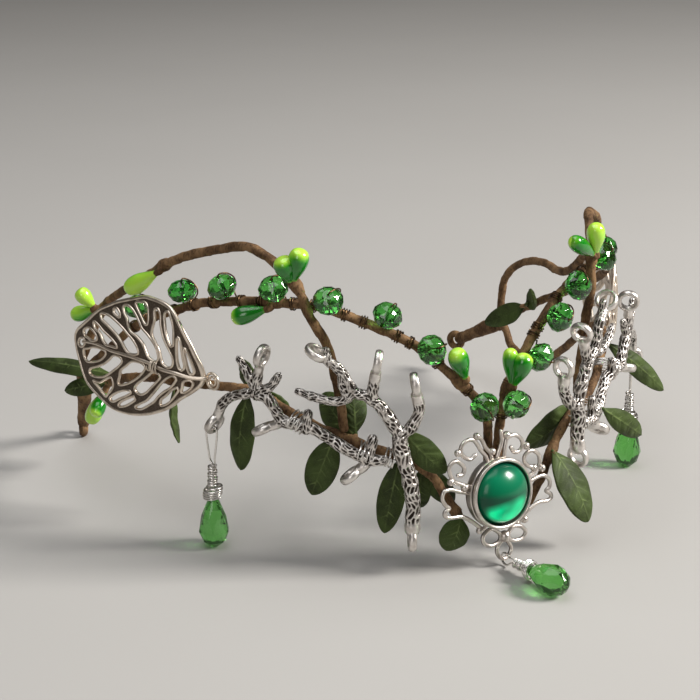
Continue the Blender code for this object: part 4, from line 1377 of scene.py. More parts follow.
@dataclass
class CentreSetting:
    """The bezel cup with its filigree and studs, and the cabochon in it."""

    centre: Row = (-1.6, -74.4, 21.1)
    turn_deg: float = 6.0
    lean_deg: float = 8.0
    bezel_radius: float = 9.7
    front: float = 2.8
    back: float = -2.4
    stone_radius: float = 8.4
    stone_height: float = 6.3
    wire_radius: float = 0.56
    steps: int = 128
    silver: SilverFinish = SilverFinish(
        "setting_silver", bright=(0.66, 0.61, 0.565), worn=(0.42, 0.37, 0.33), gloss=0.24
    )
    glass: CabochonFinish = CabochonFinish("cabochon_glass")

    BARS = (
        ((-2.8, 9.0), (-3.3, 10.6), (-4.6, 12.3), (-5.7, 14.2), (-6.9, 15.7), (-8.7, 16.1),
         (-10.6, 15.2), (-11.2, 13.5), (-10.2, 11.8), (-8.3, 10.8), (-6.7, 11.6)),
        ((-8.7, 3.4), (-10.2, 4.0), (-12.1, 4.8), (-14.1, 6.1), (-15.1, 8.2), (-15.1, 10.2),
         (-13.2, 11.3), (-11.4, 10.2), (-10.4, 8.6), (-11.2, 7.2), (-12.5, 7.3)),
        ((2.6, 8.6), (2.9, 10.2), (3.3, 12.1), (4.1, 14.0), (6.4, 14.5), (8.6, 13.1), (9.1, 11.1),
         (7.9, 9.8), (6.2, 9.8), (5.2, 11.3)),
        ((8.5, 1.7), (10.8, 2.3), (13.0, 3.4), (14.4, 4.9), (14.2, 7.4), (12.0, 9.1), (9.8, 8.3),
         (9.4, 6.5), (10.6, 5.0), (11.7, 4.6)),
        ((-5.9, 16.6), (-4.3, 15.4), (-3.2, 13.1), (-1.8, 11.2), (-1.2, 8.8)),
        ((2.1, 16.4), (2.2, 14.0), (1.4, 11.9), (0.5, 9.9), (0.3, 8.7)),
        ((-8.9, 1.5), (-10.2, 2.0), (-12.5, 2.8), (-15.1, 3.9), (-17.3, 3.8), (-18.0, 2.0),
         (-17.0, -0.1), (-16.0, -1.0), (-17.4, -1.7), (-17.4, -2.9), (-15.7, -3.7), (-12.1, -4.2),
         (-9.0, -6.2), (-5.6, -9.1), (-4.4, -8.2)),
        ((8.9, 0.3), (11.4, 0.9), (13.5, 1.4), (15.8, 1.3), (17.4, -0.4), (17.3, -2.2),
         (16.1, -3.2), (17.5, -4.3), (17.6, -5.5), (16.0, -6.0), (13.6, -5.7), (10.8, -6.6),
         (7.9, -8.5), (5.9, -9.9), (4.8, -8.4)),
    )  # fmt: skip
    LOOPS = (
        ((-0.1, -11.8), (-2.8, -9.7), (-5.6, -11.0), (-5.5, -13.0), (-3.3, -14.3), (-0.5, -13.7)),
        ((2.3, -12.3), (4.2, -10.6), (6.8, -11.1), (8.3, -12.9), (7.2, -14.4), (4.8, -14.6),
         (2.6, -13.6)),
        ((1.4, -13.4), (-0.7, -14.6), (-1.4, -16.4), (-0.5, -18.2), (1.0, -18.9), (2.5, -18.2),
         (3.4, -16.5), (2.6, -14.7)),
    )  # fmt: skip
    STUDS = (
        (-5.9, 16.6, 1.0), (-12.2, 13.3, 1.0), (-15.1, 6.0, 1.0), (3.9, 15.0, 1.1),
        (10.1, 10.8, 1.1), (15.0, 3.6, 1.1), (-6.8, -9.2, 1.0), (8.2, -9.4, 1.1),
        (1.3, -12.6, 1.6), (-1.1, 11.5, 1.0), (-10.7, 3.6, 1.1), (12.3, 4.2, 1.0),
    )  # fmt: skip

    def frame(self) -> Matrix:
        """Matrix from the setting's own plane into the row frame."""
        turn = Matrix.Rotation(math.radians(self.turn_deg), 4, "Z")
        lean = Matrix.Rotation(math.radians(-self.lean_deg), 4, "X")
        face = Matrix(((1, 0, 0, 0), (0, 0, -1, 0), (0, 1, 0, 0), (0, 0, 0, 1)))
        return Matrix.Translation(Vector(self.centre) + FRAME_SHIFT) @ turn @ lean @ face

    def cup(self) -> Raw:
        """The cup, with a rolled rim and a step under it."""
        inside, r, f = self.stone_radius + 0.25, self.bezel_radius, self.front
        profile = (
            (0.0, 0.0), (inside - 0.6, 0.0), (inside, 0.05), (inside, f - 0.5),
            (inside + 0.05, f - 0.16), (inside + 0.2, f + 0.08), (r - 0.42, f + 0.15),
            (r - 0.16, f + 0.02), (r - 0.02, f - 0.25), (r, f - 0.6), (r - 0.06, f - 1.1),
            (r - 0.34, f - 1.3), (r - 0.34, f - 1.65), (r - 0.04, f - 1.85), (r, f - 2.2),
            (r, -0.6), (r - 0.2, -1.4), (r - 0.6, -2.1), (r - 0.9, self.back), (0.0, self.back),
        )  # fmt: skip
        made = turned(profile, self.steps)
        radius = np.hypot(made.verts[:, 0], made.verts[:, 1])
        height = made.verts[:, 2]
        groove = (np.abs(height - (f - 1.47)) < 0.3) & (radius < r - 0.2) & (radius > inside + 0.1)
        made.relief[groove] = 0.1
        made.relief[(height < f - 1.9) & (radius > r - 1)] = 0.55
        made.relief[(radius < inside + 0.01) & (height > 0.04)] = 0.45
        return made

    def filigree(self) -> Raw:
        """The scrolls and loops, darkened where they turn down to their backs."""
        parts = []
        for row in self.BARS:
            line = smooth([(*p, 0.0) for p in row], 0.3)
            parts.append(swept(line, self.wire_radius, 14))
        for row in self.LOOPS:
            line = smooth([(*p, 0.0) for p in row], 0.3, closed=True)
            parts.append(swept(line, self.wire_radius, 14, closed=True))
        for k, part in enumerate(parts):
            part.verts[:, 2] += 0.017 * k if k % 2 else -0.013 * k
        made = Raw.joined(parts)
        made.relief = np.clip(0.46 + 0.9 * made.verts[:, 2] / self.wire_radius, 0.05, 1.0)
        return made

    def stone(self) -> Raw:
        """The domed stone, with the place along it of its painted shade and light, and the mask of
        its painted glow.
        """
        edge, low = self.stone_radius - 0.1, 0.3
        rise = self.stone_height - 1.0
        profile = [(0.0, self.stone_height)]
        for k in range(1, 37):
            angle = 0.5 * math.pi * k / 36
            profile.append((edge * math.sin(angle), 1.0 + rise * math.cos(angle)))
        profile += [(edge, low + 0.15), (edge - 0.15, low), (0.0, low)]
        made = turned(profile, self.steps)
        x, y = made.verts[:, 0] / edge, made.verts[:, 1] / edge
        # along places the painted shade band, the darker painted rim and the painted light crown;
        # relief is the mask of the painted glow low in the stone, with painted streaks, stronger
        # towards its rim.
        made.along = 0.5 + 0.5 * (y + 0.10 * x - 0.16 * np.maximum(x - 0.3, 0))
        low_down = np.clip((-0.06 - y + 0.16 * x) / 0.26, 0, 1)
        inside = np.clip((0.93 - np.hypot(x + 0.03, y)) / 0.12, 0, 1)
        left = np.clip((0.74 - x) / 0.3, 0, 1) * np.clip((x + 0.88) / 0.2, 0, 1)
        streaks = 0.80 + 0.20 * np.sin(9.0 * x + 1.5 * np.sin(7.0 * y)) * np.clip(1.4 + y, 0, 1)
        rim_light = np.clip((np.hypot(x, y) - 0.5) / 0.3, 0, 1)
        made.relief = low_down * inside * left * streaks * (0.5 + 0.5 * rim_light)
        return made

    def build(self, studs: StudTree) -> None:
        """Makes the setting and the stone."""
        silver, glass = self.silver.build(), self.glass.build()
        parts = [self.cup(), self.filigree(), studs.draw(self.STUDS, silver)]
        frame = self.frame()
        body = Raw.joined(parts).moved(frame)
        piece("centre_setting_filigree", body, silver, ["centre_setting"], Slot.SILVER)
        piece("cabochon_dome", self.stone().moved(frame), glass, ["cabochon"], Slot.CABOCHON)


# Castings


@dataclass(frozen=True)
class Twig:
    """One twig of a casting: its radius, whether a ring ends it, and its rows."""

    radius: float
    has_ring: bool
    rows: tuple[Row, ...]


@dataclass(frozen=True)
class Stance:
    """How the castings stand on a side of the head."""

    flip: int
    flare_start: float = 0.0
    flare: float = 0.0
    lean_deg: float = 0.0
    shift: tuple[float, float] = (0.0, 0.0)
    out: float = 4.3
    pivot: tuple[float, float] = (-27.2, 40.5)

    def place(self, row: Row) -> Vector:
        """Point of a casting from its row, as it stands here."""
        along, height, out = row
        lean = math.radians(self.lean_deg)
        ahead, up = along - self.pivot[0], height - self.pivot[1]
        along = self.pivot[0] - self.shift[0] + ahead * math.cos(lean) + up * math.sin(lean)
        height = self.pivot[1] + self.shift[1] - ahead * math.sin(lean) + up * math.cos(lean)
        further = self.flare * max(0, abs(along) - self.flare_start)
        return HEAD.place(self.flip * along, height, self.out + out + further)


ANTLER_LIMBS = (
    Twig(1.64, True, ((-27.2, 39, 0), (-24, 42.3, 0), (-22.4, 46.6, 0), (-23, 50.6, 0))),
    Twig(1.81, False, ((-27.2, 39.5, 0), (-30, 45, 0), (-32.7, 48.5, 0), (-35, 50.2, 0))),
    Twig(1.53, True, ((-34.2, 49, 0), (-33.5, 53.5, 0), (-33, 56.7, 0))),
    Twig(1.47, True, ((-33.5, 50.4, 0), (-37.9, 51.2, 0), (-40.4, 55, 0), (-42.5, 57.8, 0),
                      (-45.3, 59.7, 0))),
    Twig(1.24, False, ((-44.6, 58.6, 0), (-45.3, 62.3, 0))),
    Twig(1.24, False, ((-38.3, 51.6, 0), (-39.9, 49.4, 0), (-43.2, 48.4, 0), (-48.4, 49.1, 0),
                       (-52.6, 50.2, 0))),
    Twig(1.13, False, ((-41.6, 56.6, 0), (-41.2, 52.6, 0), (-40.0, 49.2, 0))),
)  # fmt: skip
ANTLER_LONG_FOOT = Twig(
    2.15, True, ((-27.2, 40.5, 0), (-26.6, 35, 0), (-24.9, 29, 0), (-23.6, 20, 0), (-23.7, 13, 0))
)
ANTLER_SHORT_FOOT = Twig(
    2.15, True, ((-27.2, 40.5, 0), (-26.6, 35, 0), (-25.4, 31, 0), (-25, 27.5, 0))
)
BRANCH = (
    Twig(1.47, True, ((-64.5, 48.2, 0), (-66.6, 47.5, 0), (-71.6, 45.6, 0), (-74.6, 43, 0),
                      (-76.3, 39.4, 0))),
    Twig(1.41, True, ((-64.2, 47, 0), (-63.8, 52.4, 0), (-63.1, 55.6, 0))),
    Twig(1.3, False, ((-64.4, 48, 0), (-66.4, 52.5, 0), (-69.2, 56.6, 0))),
    Twig(1.3, False, ((-64.6, 48.6, 0), (-60.4, 50.2, 0), (-57.8, 53.9, 0))),
    Twig(1.64, False, ((-65, 48, 0), (-61.3, 47.2, 0), (-59, 44.4, 0), (-56.8, 41.2, 0),
                       (-53, 41, 0), (-49.3, 40, -0.8), (-45.9, 38.2, -1.1), (-42, 36, -0.8),
                       (-37.9, 34.1, 0), (-34.4, 32.6, 0), (-30.4, 32.6, 0))),
    Twig(1.36, True, ((-56, 41.4, 0), (-59.6, 39.6, 0))),
    Twig(1.53, False, ((-50.6, 39.6, 0), (-50, 44.3, 0))),
    Twig(1.58, False, ((-34.5, 32.4, 0), (-33.7, 38.4, 0))),
    Twig(1.47, True, ((-34, 32.4, 0), (-36.8, 30, 0))),
)  # fmt: skip
LEFT_STANCE = Stance(1)
RIGHT_STANCE = Stance(-1, 50.0, 0.2)
RIGHT_ANTLER_STANCE = Stance(-1, 50.0, 0.2, 14.0, (-1.4, -0.6))


@dataclass
class TwigCasting:
    """A cast spray of twigs with pitted bark and smooth rings at some tips."""

    node: str
    twigs: tuple[Twig, ...]
    stance: Stance
    seed: float
    ring_radius: float = 2.6
    ring_wire: float = 0.75
    ring_reach: float = 3.1
    voxel: float = 0.24
    pit: float = 0.36
    pit_length: float = 2.2
    small_pit: float = 0.35
    small_pit_length: float = 0.9
    around: int = 10
    ridge: float = 0.125
    step: float = 0.35
    ring_steps: int = 48
    path: list[tuple[Vector, Vector, Vector, Vector, float, float]] = field(default_factory=list)

    def line(self, twig: Twig) -> list[Vector]:
        """The twig's line with the CAD's own corners."""
        return smooth([self.stance.place(row) for row in twig.rows], CAD_TWIG_STEP)

    def limb(self, twig: Twig) -> Raw:
        """One twig, gnarled along its length, whose places are kept for the bark."""
        coarse = self.line(twig)
        last = len(coarse) - 1
        sizes = []
        for k in range(last + 1):
            end = 0.86 if k == last and not twig.has_ring else 1.0
            sizes.append(twig.radius * (1.07 if k % 2 else 0.95) * end * (1.0 if k else 0.92))
        fine = smooth(coarse, self.step)
        share = np.linspace(0, last, len(fine))
        radii = np.interp(share, range(last + 1), sizes)
        start = len(self.path) * 0.37 + self.seed
        gnarl = [noise.noise(Vector((k * 0.19, start, 0.5))) for k in range(len(fine))]
        radii = radii * (1 + 0.12 * np.array(gnarl))
        ways, normals, sideways = transport(np.array([tuple(p) for p in fine]))
        length = 0.0
        total = self.step * len(fine)
        for k, point in enumerate(fine):
            rough = 1.0
            if twig.has_ring:
                rough = min(1.0, max(0.0, (total - length - 1.2) / 2.0))
            self.path.append(
                (point, Vector(ways[k]), Vector(normals[k]), Vector(sideways[k]), length, rough)
            )
            length += self.step
        return swept(fine, radii, 16)

    def ring(self, twig: Twig) -> Raw:
        """The smooth ring at a twig's tip."""
        coarse = self.line(twig)
        way = (coarse[-1] - coarse[-2]).normalized()
        out = HEAD.outward(self.stance.flip * twig.rows[-1][0])
        axis = way.cross(out).normalized()
        circle = [
            polar(self.ring_radius, 2 * math.pi * k / self.ring_steps)
            for k in range(self.ring_steps)
        ]
        made = swept(circle, self.ring_wire, 16, closed=True)
        frame = stand(coarse[-1] + way * self.ring_reach, axis, across=way)
        for point in circle:
            place = frame @ Vector(point)
            self.path.append((place, way, axis, out, 0.0, 0.0))
        return made.moved(frame @ Matrix.Scale(1.5, 4, (0, 0, 1)))

    def pits(self, along: np.ndarray, turn: np.ndarray) -> np.ndarray:
        """Depth of the bark's pits: cells drawn out along the twig, with ridges between them.

        Args:
            along: length along the twig in pit lengths.
            turn: angle round the twig in cells.

        Returns:
            0 on the ridges to 1 in the pits.
        """
        row, column = np.floor(along), np.floor(turn)
        near = np.full(along.shape, 9.0)
        next_near, strength = near.copy(), np.ones(along.shape)
        for i in (-1, 0, 1):
            for j in (-1, 0, 1):
                key = (row + i) * 127.1 + ((column + j) % self.around) * 311.7 + self.seed * 7.3
                jitter = [np.modf(np.abs(np.sin(key + k)) * 43758.5453)[0] for k in (0.0, 91.7)]
                off = np.hypot(
                    row + i + 0.15 + 0.7 * jitter[0] - along,
                    column + j + 0.15 + 0.7 * jitter[1] - turn,
                )
                strength = np.where(off < near, 0.68 + jitter[0] * jitter[1], strength)
                next_near = np.minimum(next_near, np.maximum(near, off))
                near = np.minimum(near, off)
        value = np.clip((next_near - near - self.ridge) / 0.26, 0, 1)
        return value * value * (3 - 2 * value) * np.minimum(1.0, strength)

    def carve(self, made: Raw, normals: np.ndarray) -> None:
        """Sinks the long pits of the bark into the casting's surface."""
        tree = KDTree(len(self.path))
        for k, row in enumerate(self.path):
            tree.insert(row[0], k)
        tree.balance()
        nearest = np.array([tree.find(vertex)[1] for vertex in made.verts])
        rows = np.array([(*p, *a, *b, *c, *rest) for p, a, b, c, *rest in self.path])[nearest]
        off = made.verts - rows[:, 0:3]
        length = rows[:, 12] + (off * rows[:, 3:6]).sum(axis=1)
        first, second = ((off * rows[:, k : k + 3]).sum(axis=1) for k in (6, 9))
        turn = (np.arctan2(second, first) / (2 * np.pi) + 0.5) * self.around
        swirl = 0.5 * np.sin(length * 0.8 + self.seed)
        depth = self.pits(length / self.pit_length + 0.35 * swirl, turn + swirl)
        fine = self.pits(length / self.small_pit_length + 5.0, turn + 0.5) * self.small_pit
        depth = np.maximum(depth, fine * (depth < 0.05)) * rows[:, 13]
        made.verts -= normals * (depth * self.pit)[:, None]
        made.relief = 1.0 - 0.95 * depth

    def build(self, material: bpy.types.Material) -> None:
        """Makes the casting as one skin over its twigs and rings."""
        parts = []
        for twig in self.twigs:
            parts.append(self.limb(twig))
            if twig.has_ring:
                parts.append(self.ring(twig))
        obj = linked(Raw.joined(parts).mesh("casting"))
        skin = obj.modifiers.new("skin", "REMESH")
        skin.mode = "VOXEL"
        skin.voxel_size = self.voxel * MM
        ease = obj.modifiers.new("ease", "SMOOTH")
        ease.factor = 0.5
        ease.iterations = 3
        mesh = evaluated(obj)
        count = len(mesh.vertices)
        normals = np.empty(count * 3, np.float32)
        mesh.vertices.foreach_get("normal", normals)
        made = Raw.of(mesh)
        made.verts /= MM
        self.carve(made, normals.reshape(-1, 3))
        piece(f"{self.node}_bark", made, material, [self.node], Slot.SILVER)


@dataclass
class Castings:
    """The four castings."""

    silver: SilverFinish = SilverFinish(
        "bark_silver", (0.76, 0.72, 0.68), (0.44, 0.39, 0.35), (0.036, 0.026, 0.020), 0.3, 0.93
    )

    def build(self) -> None:
        """Makes them."""
        material = self.silver.build()
        for node, twigs, stance, seed in (
            ("antler_casting_left", (ANTLER_LONG_FOOT, *ANTLER_LIMBS), LEFT_STANCE, 3.1),
            ("branch_casting_left", BRANCH, LEFT_STANCE, 11.7),
            ("antler_casting_right", (ANTLER_SHORT_FOOT, *ANTLER_LIMBS), RIGHT_ANTLER_STANCE, 23.9),
            ("branch_casting_right", BRANCH, RIGHT_STANCE, 37.3),
        ):
            TwigCasting(node, twigs, stance, seed).build(material)


# Skeleton leaf pendants


@dataclass
class LeafPendant:
    """The pierced leaf: a domed plate whose openings have raised bright rims, and its ring."""

    side: Side
    thickness: float = 0.72
    dome: float = 4.2
    neck_back: float = 4.2
    ring_back: float = 2.0
    out: float = 4.3
    turn_deg: float = 22.0
    rim: float = 0.37
    rim_offset: float = 0.22
    edge: float = 0.52
    wrap_wire: float = 0.2
    wrap_turns: int = 6
    points_a_turn: int = 16
    eye: tuple[float, float] = (0.6, 0.3)
    half_width: float = 19.0
    half_length: float = 27.0
    neck_length: float = 12.0
    along: float = 79.2
    height: float = 47.3

    OUTLINE = (
        (3.0, 1.8), (3.6, 4.4), (4.8, 7.2), (6.0, 9.9), (7.5, 12.4), (9.1, 14.8), (10.8, 16.9),
        (12.6, 18.5), (14.6, 19.4), (17.4, 19.9), (20.6, 20.1), (23.6, 20.1), (26.8, 19.2),
        (30.6, 18.0), (34.0, 16.8), (37.4, 15.2), (40.9, 13.4), (43.6, 11.4), (46.3, 9.2),
        (49.9, 6.6), (52.6, 4.6), (54.0, 2.2), (53.5, -1.0), (52.5, -3.4), (51.4, -5.6),
        (50.2, -8.2), (48.6, -10.3), (46.2, -11.8), (43.2, -13.2), (40.4, -14.6), (36.8, -15.5),
        (32.5, -15.4), (27.5, -14.6), (21.7, -12.9), (16.9, -10.9), (13.4, -9.1), (11.0, -7.4),
        (9.0, -5.6), (6.9, -4.1), (5.1, -2.6), (3.8, -1.2), (3.1, 0.2),
    )  # fmt: skip
    OPENINGS = (
        ((51.1, 2.3), (48.7, 3.0), (48.2, 1.9), (50.0, 0.5), (51.9, 0.6)),
        ((48.6, 5.4), (46.3, 6.8), (44.2, 6.7), (42.6, 6.0), (41.6, 4.8), (44.2, 3.8),
         (46.4, 4.2), (48.0, 4.3)),
        ((43.3, 9.3), (40.8, 8.7), (38.8, 7.7), (36.3, 6.9), (34.0, 6.0), (32.1, 4.7),
         (34.4, 4.5), (37.2, 4.4), (38.6, 5.2), (39.6, 6.4), (40.7, 7.3), (42.7, 7.7)),
        ((40.3, 12.2), (38.9, 12.5), (36.1, 12.3), (33.3, 11.5), (30.5, 10.4), (27.8, 9.0),
         (25.6, 7.8), (23.9, 6.2), (23.4, 4.9), (25.4, 4.2), (27.4, 4.3), (28.7, 5.2),
         (30.1, 6.6), (31.9, 7.9), (34.7, 9.2), (37.6, 10.3), (39.6, 11.0)),
        ((34.9, 14.7), (33.6, 15.0), (32.1, 13.9), (31.9, 13.2), (33.2, 13.4), (34.7, 14.0)),
        ((31.0, 16.3), (28.9, 16.5), (26.6, 15.5), (24.1, 13.3), (22.6, 11.7), (20.4, 10.5),
         (18.3, 9.0), (16.7, 7.3), (15.9, 5.0), (16.9, 3.9), (19.2, 4.6), (20.4, 6.3),
         (21.7, 8.0), (24.2, 9.5), (26.7, 10.3), (27.8, 11.5), (29.0, 13.5), (30.6, 15.0)),
        ((26.5, 18.0), (25.0, 18.3), (23.4, 18.6), (22.1, 18.0), (21.3, 16.6), (20.8, 14.8),
         (20.9, 13.4), (21.7, 13.5), (23.2, 14.9), (24.7, 16.2)),
        ((18.8, 17.6), (17.7, 17.8), (16.6, 16.4), (16.2, 14.6), (15.5, 12.8), (14.5, 10.8),
         (13.3, 9.1), (12.1, 7.6), (11.0, 5.9), (11.0, 3.9), (12.3, 3.1), (14.1, 3.8),
         (14.8, 5.5), (15.6, 7.5), (17.3, 9.4), (18.6, 11.1), (18.5, 12.8), (18.2, 15.0)),
        ((14.9, 17.2), (13.9, 17.9), (12.9, 16.8), (11.9, 15.3), (11.3, 13.6), (11.1, 11.7),
         (10.9, 9.5), (11.5, 9.1), (12.7, 10.8), (13.7, 12.8), (14.4, 15.1)),
        ((9.5, 11.7), (8.8, 10.7), (8.4, 8.5), (8.0, 6.3), (7.5, 4.1), (8.0, 2.9), (8.6, 3.3),
         (9.2, 5.3), (9.5, 7.8), (9.6, 10.0)),
        ((7.4, 9.0), (6.7, 7.6), (5.9, 5.7), (5.3, 3.8), (5.1, 2.5), (5.7, 2.0), (6.2, 3.0),
         (6.7, 4.8), (7.0, 6.4), (7.4, 7.8)),
        ((48.9, -0.4), (46.6, 0.5), (43.2, 1.8), (40.1, 2.2), (37.4, 2.0), (37.7, 1.0),
         (39.8, -0.7), (43.0, -2.1), (47.0, -3.2), (48.6, -2.7)),
        ((45.7, -5.3), (41.7, -3.6), (37.9, -1.7), (35.4, 0.1), (33.5, 1.7), (31.2, 1.9),
         (30.0, 1.1), (31.8, -0.8), (34.3, -2.6), (36.9, -4.4), (39.5, -5.8), (43.8, -6.9),
         (46.5, -6.7)),
        ((44.8, -8.7), (41.6, -8.5), (38.3, -6.6), (35.6, -5.3), (35.0, -6.7), (35.8, -8.5),
         (38.3, -10.7), (39.7, -12.0), (40.9, -11.4), (43.0, -9.8)),
        ((32.2, -6.3), (31.3, -3.9), (30.6, -2.0), (27.9, 0.1), (25.8, 1.7), (23.3, 2.1),
         (21.4, 1.9), (20.7, 1.2), (22.3, -0.9), (24.9, -3.0), (28.5, -5.1)),
        ((25.3, -6.1), (23.8, -4.3), (21.3, -2.5), (19.3, -0.9), (17.7, 0.4), (15.9, 0.3),
         (15.2, -0.3), (16.8, -2.1), (18.8, -4.0), (21.0, -6.0), (23.1, -7.1), (24.7, -6.9)),
        ((37.9, -12.5), (35.5, -10.6), (32.3, -8.8), (29.4, -7.7), (27.3, -7.5), (29.3, -8.9),
         (32.9, -10.8), (36.6, -12.8)),
        ((34.2, -13.6), (32.3, -11.9), (29.2, -10.2), (26.3, -8.8), (26.0, -9.4), (28.7, -11.3),
         (31.8, -13.0)),
        ((26.5, -12.1), (23.9, -10.4), (21.1, -8.8), (18.8, -6.7), (16.6, -4.4), (14.6, -2.2),
         (12.7, -0.4), (11.0, 0.6), (9.9, 0.3), (10.1, -0.5), (11.8, -2.6), (14.1, -4.2),
         (16.5, -6.2), (18.3, -8.1), (21.0, -10.0), (24.3, -11.9)),
        ((15.8, -8.8), (15.2, -7.1), (13.2, -5.5), (11.3, -3.6), (9.6, -2.5), (9.3, -3.0),
         (10.7, -5.0), (12.3, -6.8), (13.9, -8.0)),
        ((8.2, -3.5), (7.9, -2.2), (7.6, -0.6), (6.8, -0.1), (5.8, -0.1), (5.4, -0.6),
         (5.8, -1.7), (6.9, -2.9)),
    )  # fmt: skip
    SPINE = (
        (2.6, 0.8), (5.8, 0.9), (9.8, 1.7), (14.5, 2.0), (18.5, 2.8), (24.2, 3.2), (29.6, 3.2),
        (34.9, 3.0), (39.7, 3.3), (44.9, 2.9), (49.4, 2.0),
    )  # fmt: skip

    def opening(self, row: Sequence[Sequence[float]], step: float) -> list[Vector]:
        """Outline of one opening, on the middle of its raised rim."""
        points = smooth([(*p, 0.0) for p in row], step, closed=True)
        area = sum(a.x * b.y - b.x * a.y for a, b in zip(points, points[1:] + points[:1]))
        turn = self.rim_offset if area < 0 else -self.rim_offset
        moved = []
        for k, point in enumerate(points):
            way = (points[(k + 1) % len(points)] - points[k - 1]).normalized()
            moved.append(point + Vector((-way.y, way.x, 0)) * turn)
        return moved

    def bend(self, made: Raw) -> Raw:
        """Bends what lies flat to the leaf's dome."""
        x, y = made.verts[:, 0], made.verts[:, 1]
        across, ahead = y / self.half_width, (x - self.half_length) / self.half_length
        made.verts[:, 2] += self.dome * (1 - 0.8 * across**2) * (1 - 0.85 * ahead**2)
        made.verts[:, 2] -= self.neck_back * np.maximum(0, 1 - x / self.neck_length) ** 2
        return made

    def plate(self) -> Raw:
        """The plate with its openings, fine enough to bend."""
        curve = bpy.data.curves.new("plate", "CURVE")
        curve.dimensions = "2D"
        curve.fill_mode = "BOTH"
        curve.extrude = self.thickness / 2
        outline = smooth([(*p, 0.0) for p in self.OUTLINE], 0.8, closed=True)
        for points in [outline] + [self.opening(row, 0.6) for row in self.OPENINGS]:
            spline = curve.splines.new("POLY")
            spline.use_cyclic_u = True
            spline.points.add(len(points) - 1)
            for point, position in zip(spline.points, points):
                point.co = (position[0], position[1], 0, 1)
        mesh = evaluated(linked(curve))
        made = bmesh.new()
        made.from_mesh(mesh)
        bmesh.ops.remove_doubles(made, verts=made.verts, dist=0.001)
        for limit in (6.0, 3.0, 1.8):
            long = [e for e in made.edges if e.calc_length() > limit]
            bmesh.ops.subdivide_edges(made, edges=long, cuts=1)
            bmesh.ops.triangulate(made, faces=[f for f in made.faces if len(f.verts) > 4])
        bmesh.ops.recalc_face_normals(made, faces=made.faces)
        made.to_mesh(mesh)
        made.free()
        result = Raw.of(mesh, 0.27)
        result.relief[result.verts[:, 2] < 0] = 0.55
        return result

    def frame(self) -> tuple[Matrix, bool]:
        """Where the leaf stands.

        Returns:
            The matrix from its own plane, and whether its body is mirrored first.
        """
        flip = self.side.value
        turn = math.radians(self.turn_deg)
        ahead = Vector((flip * math.sin(turn), math.cos(turn), 0))
        out = Vector((flip * math.cos(turn), -math.sin(turn), 0))
        frame = Matrix((ahead, (0, 0, 1), out)).transposed().to_4x4()
        mirrored = frame.determinant() < 0
        if mirrored:
            frame = Matrix((ahead, (0, 0, 1), -out)).transposed().to_4x4()
        frame.translation = HEAD.place(flip * self.along, self.height, self.out)
        return frame, mirrored

    def wraps(self) -> list[Vector]:
        """The thin wire that is wound round the spine at its middle."""
        points, last = [], self.wrap_turns * self.points_a_turn
        for k in range(last + 1):
            angle = 2 * math.pi * k / self.points_a_turn
            along = 15.7 + 3.2 * k / last + 0.25 * math.sin(2.3 * angle / math.pi)
            points.append(Vector((along, 2.2 + 1.5 * math.sin(angle), 0.3 + math.cos(angle))))
        return points

    def build(self, silver: bpy.types.Material) -> None:
        """Makes the leaf."""
        parts = [self.plate()]
        for row in self.OPENINGS:
            line = [(p.x, p.y, 0.3) for p in self.opening(row, 0.5)]
            parts.append(swept(line, self.rim, 8, closed=True))
        outline = smooth([(*p, 0.12) for p in self.OUTLINE], 0.6, closed=True)
        parts.append(swept(outline, self.edge, 10, closed=True))
        spine = smooth([(*p, 0.28) for p in self.SPINE], 0.6)
        parts.append(swept(spine, np.linspace(0.62, 0.4, len(spine)), 12))
        parts.append(swept(self.wraps(), self.wrap_wire, 8))
        body = self.bend(Raw.joined(parts))
        turns = np.linspace(0, 2 * math.pi, 49)[:-1]
        for radius, wire, relief in ((2.2, 0.4, 1.0), (1.2, 0.32, 0.9)):
            circle = []
            for x, y, _ in (polar(radius, turn) for turn in turns):
                circle.append((x + self.eye[0], y + self.eye[1], -self.ring_back))
            body = Raw.joined([body, swept(circle, wire, 14, closed=True, relief=relief)])
        frame, mirrored = self.frame()
        if mirrored:
            body = body.moved(Matrix.Scale(-1, 4, (0, 0, 1)))
        name = f"leaf_pendant_{self.side.word}"
        piece(f"{name}_pierced", body.moved(frame), silver, [name], Slot.SILVER)


# Cloth leaves, buds and their ties


def seat(wire: Wire, near: Vector, half_thickness: float, gap: float = 0.3) -> Vector:
    """Start of a piece tied to a wire: a small gap off its surface, on the side of a point."""
    index = wire.nearest(near)
    best = wire.path[index]
    return best + (near - best).normalized() * (0.9 * wire.radius + gap + half_thickness)


@dataclass(frozen=True)
class LeafSpec:
    """One cloth leaf: what it is tied to, a point beside it, its tip, its width and its roll."""

    holder: str
    near: Row
    tip: Row
    width: float
    roll: float = 0.0


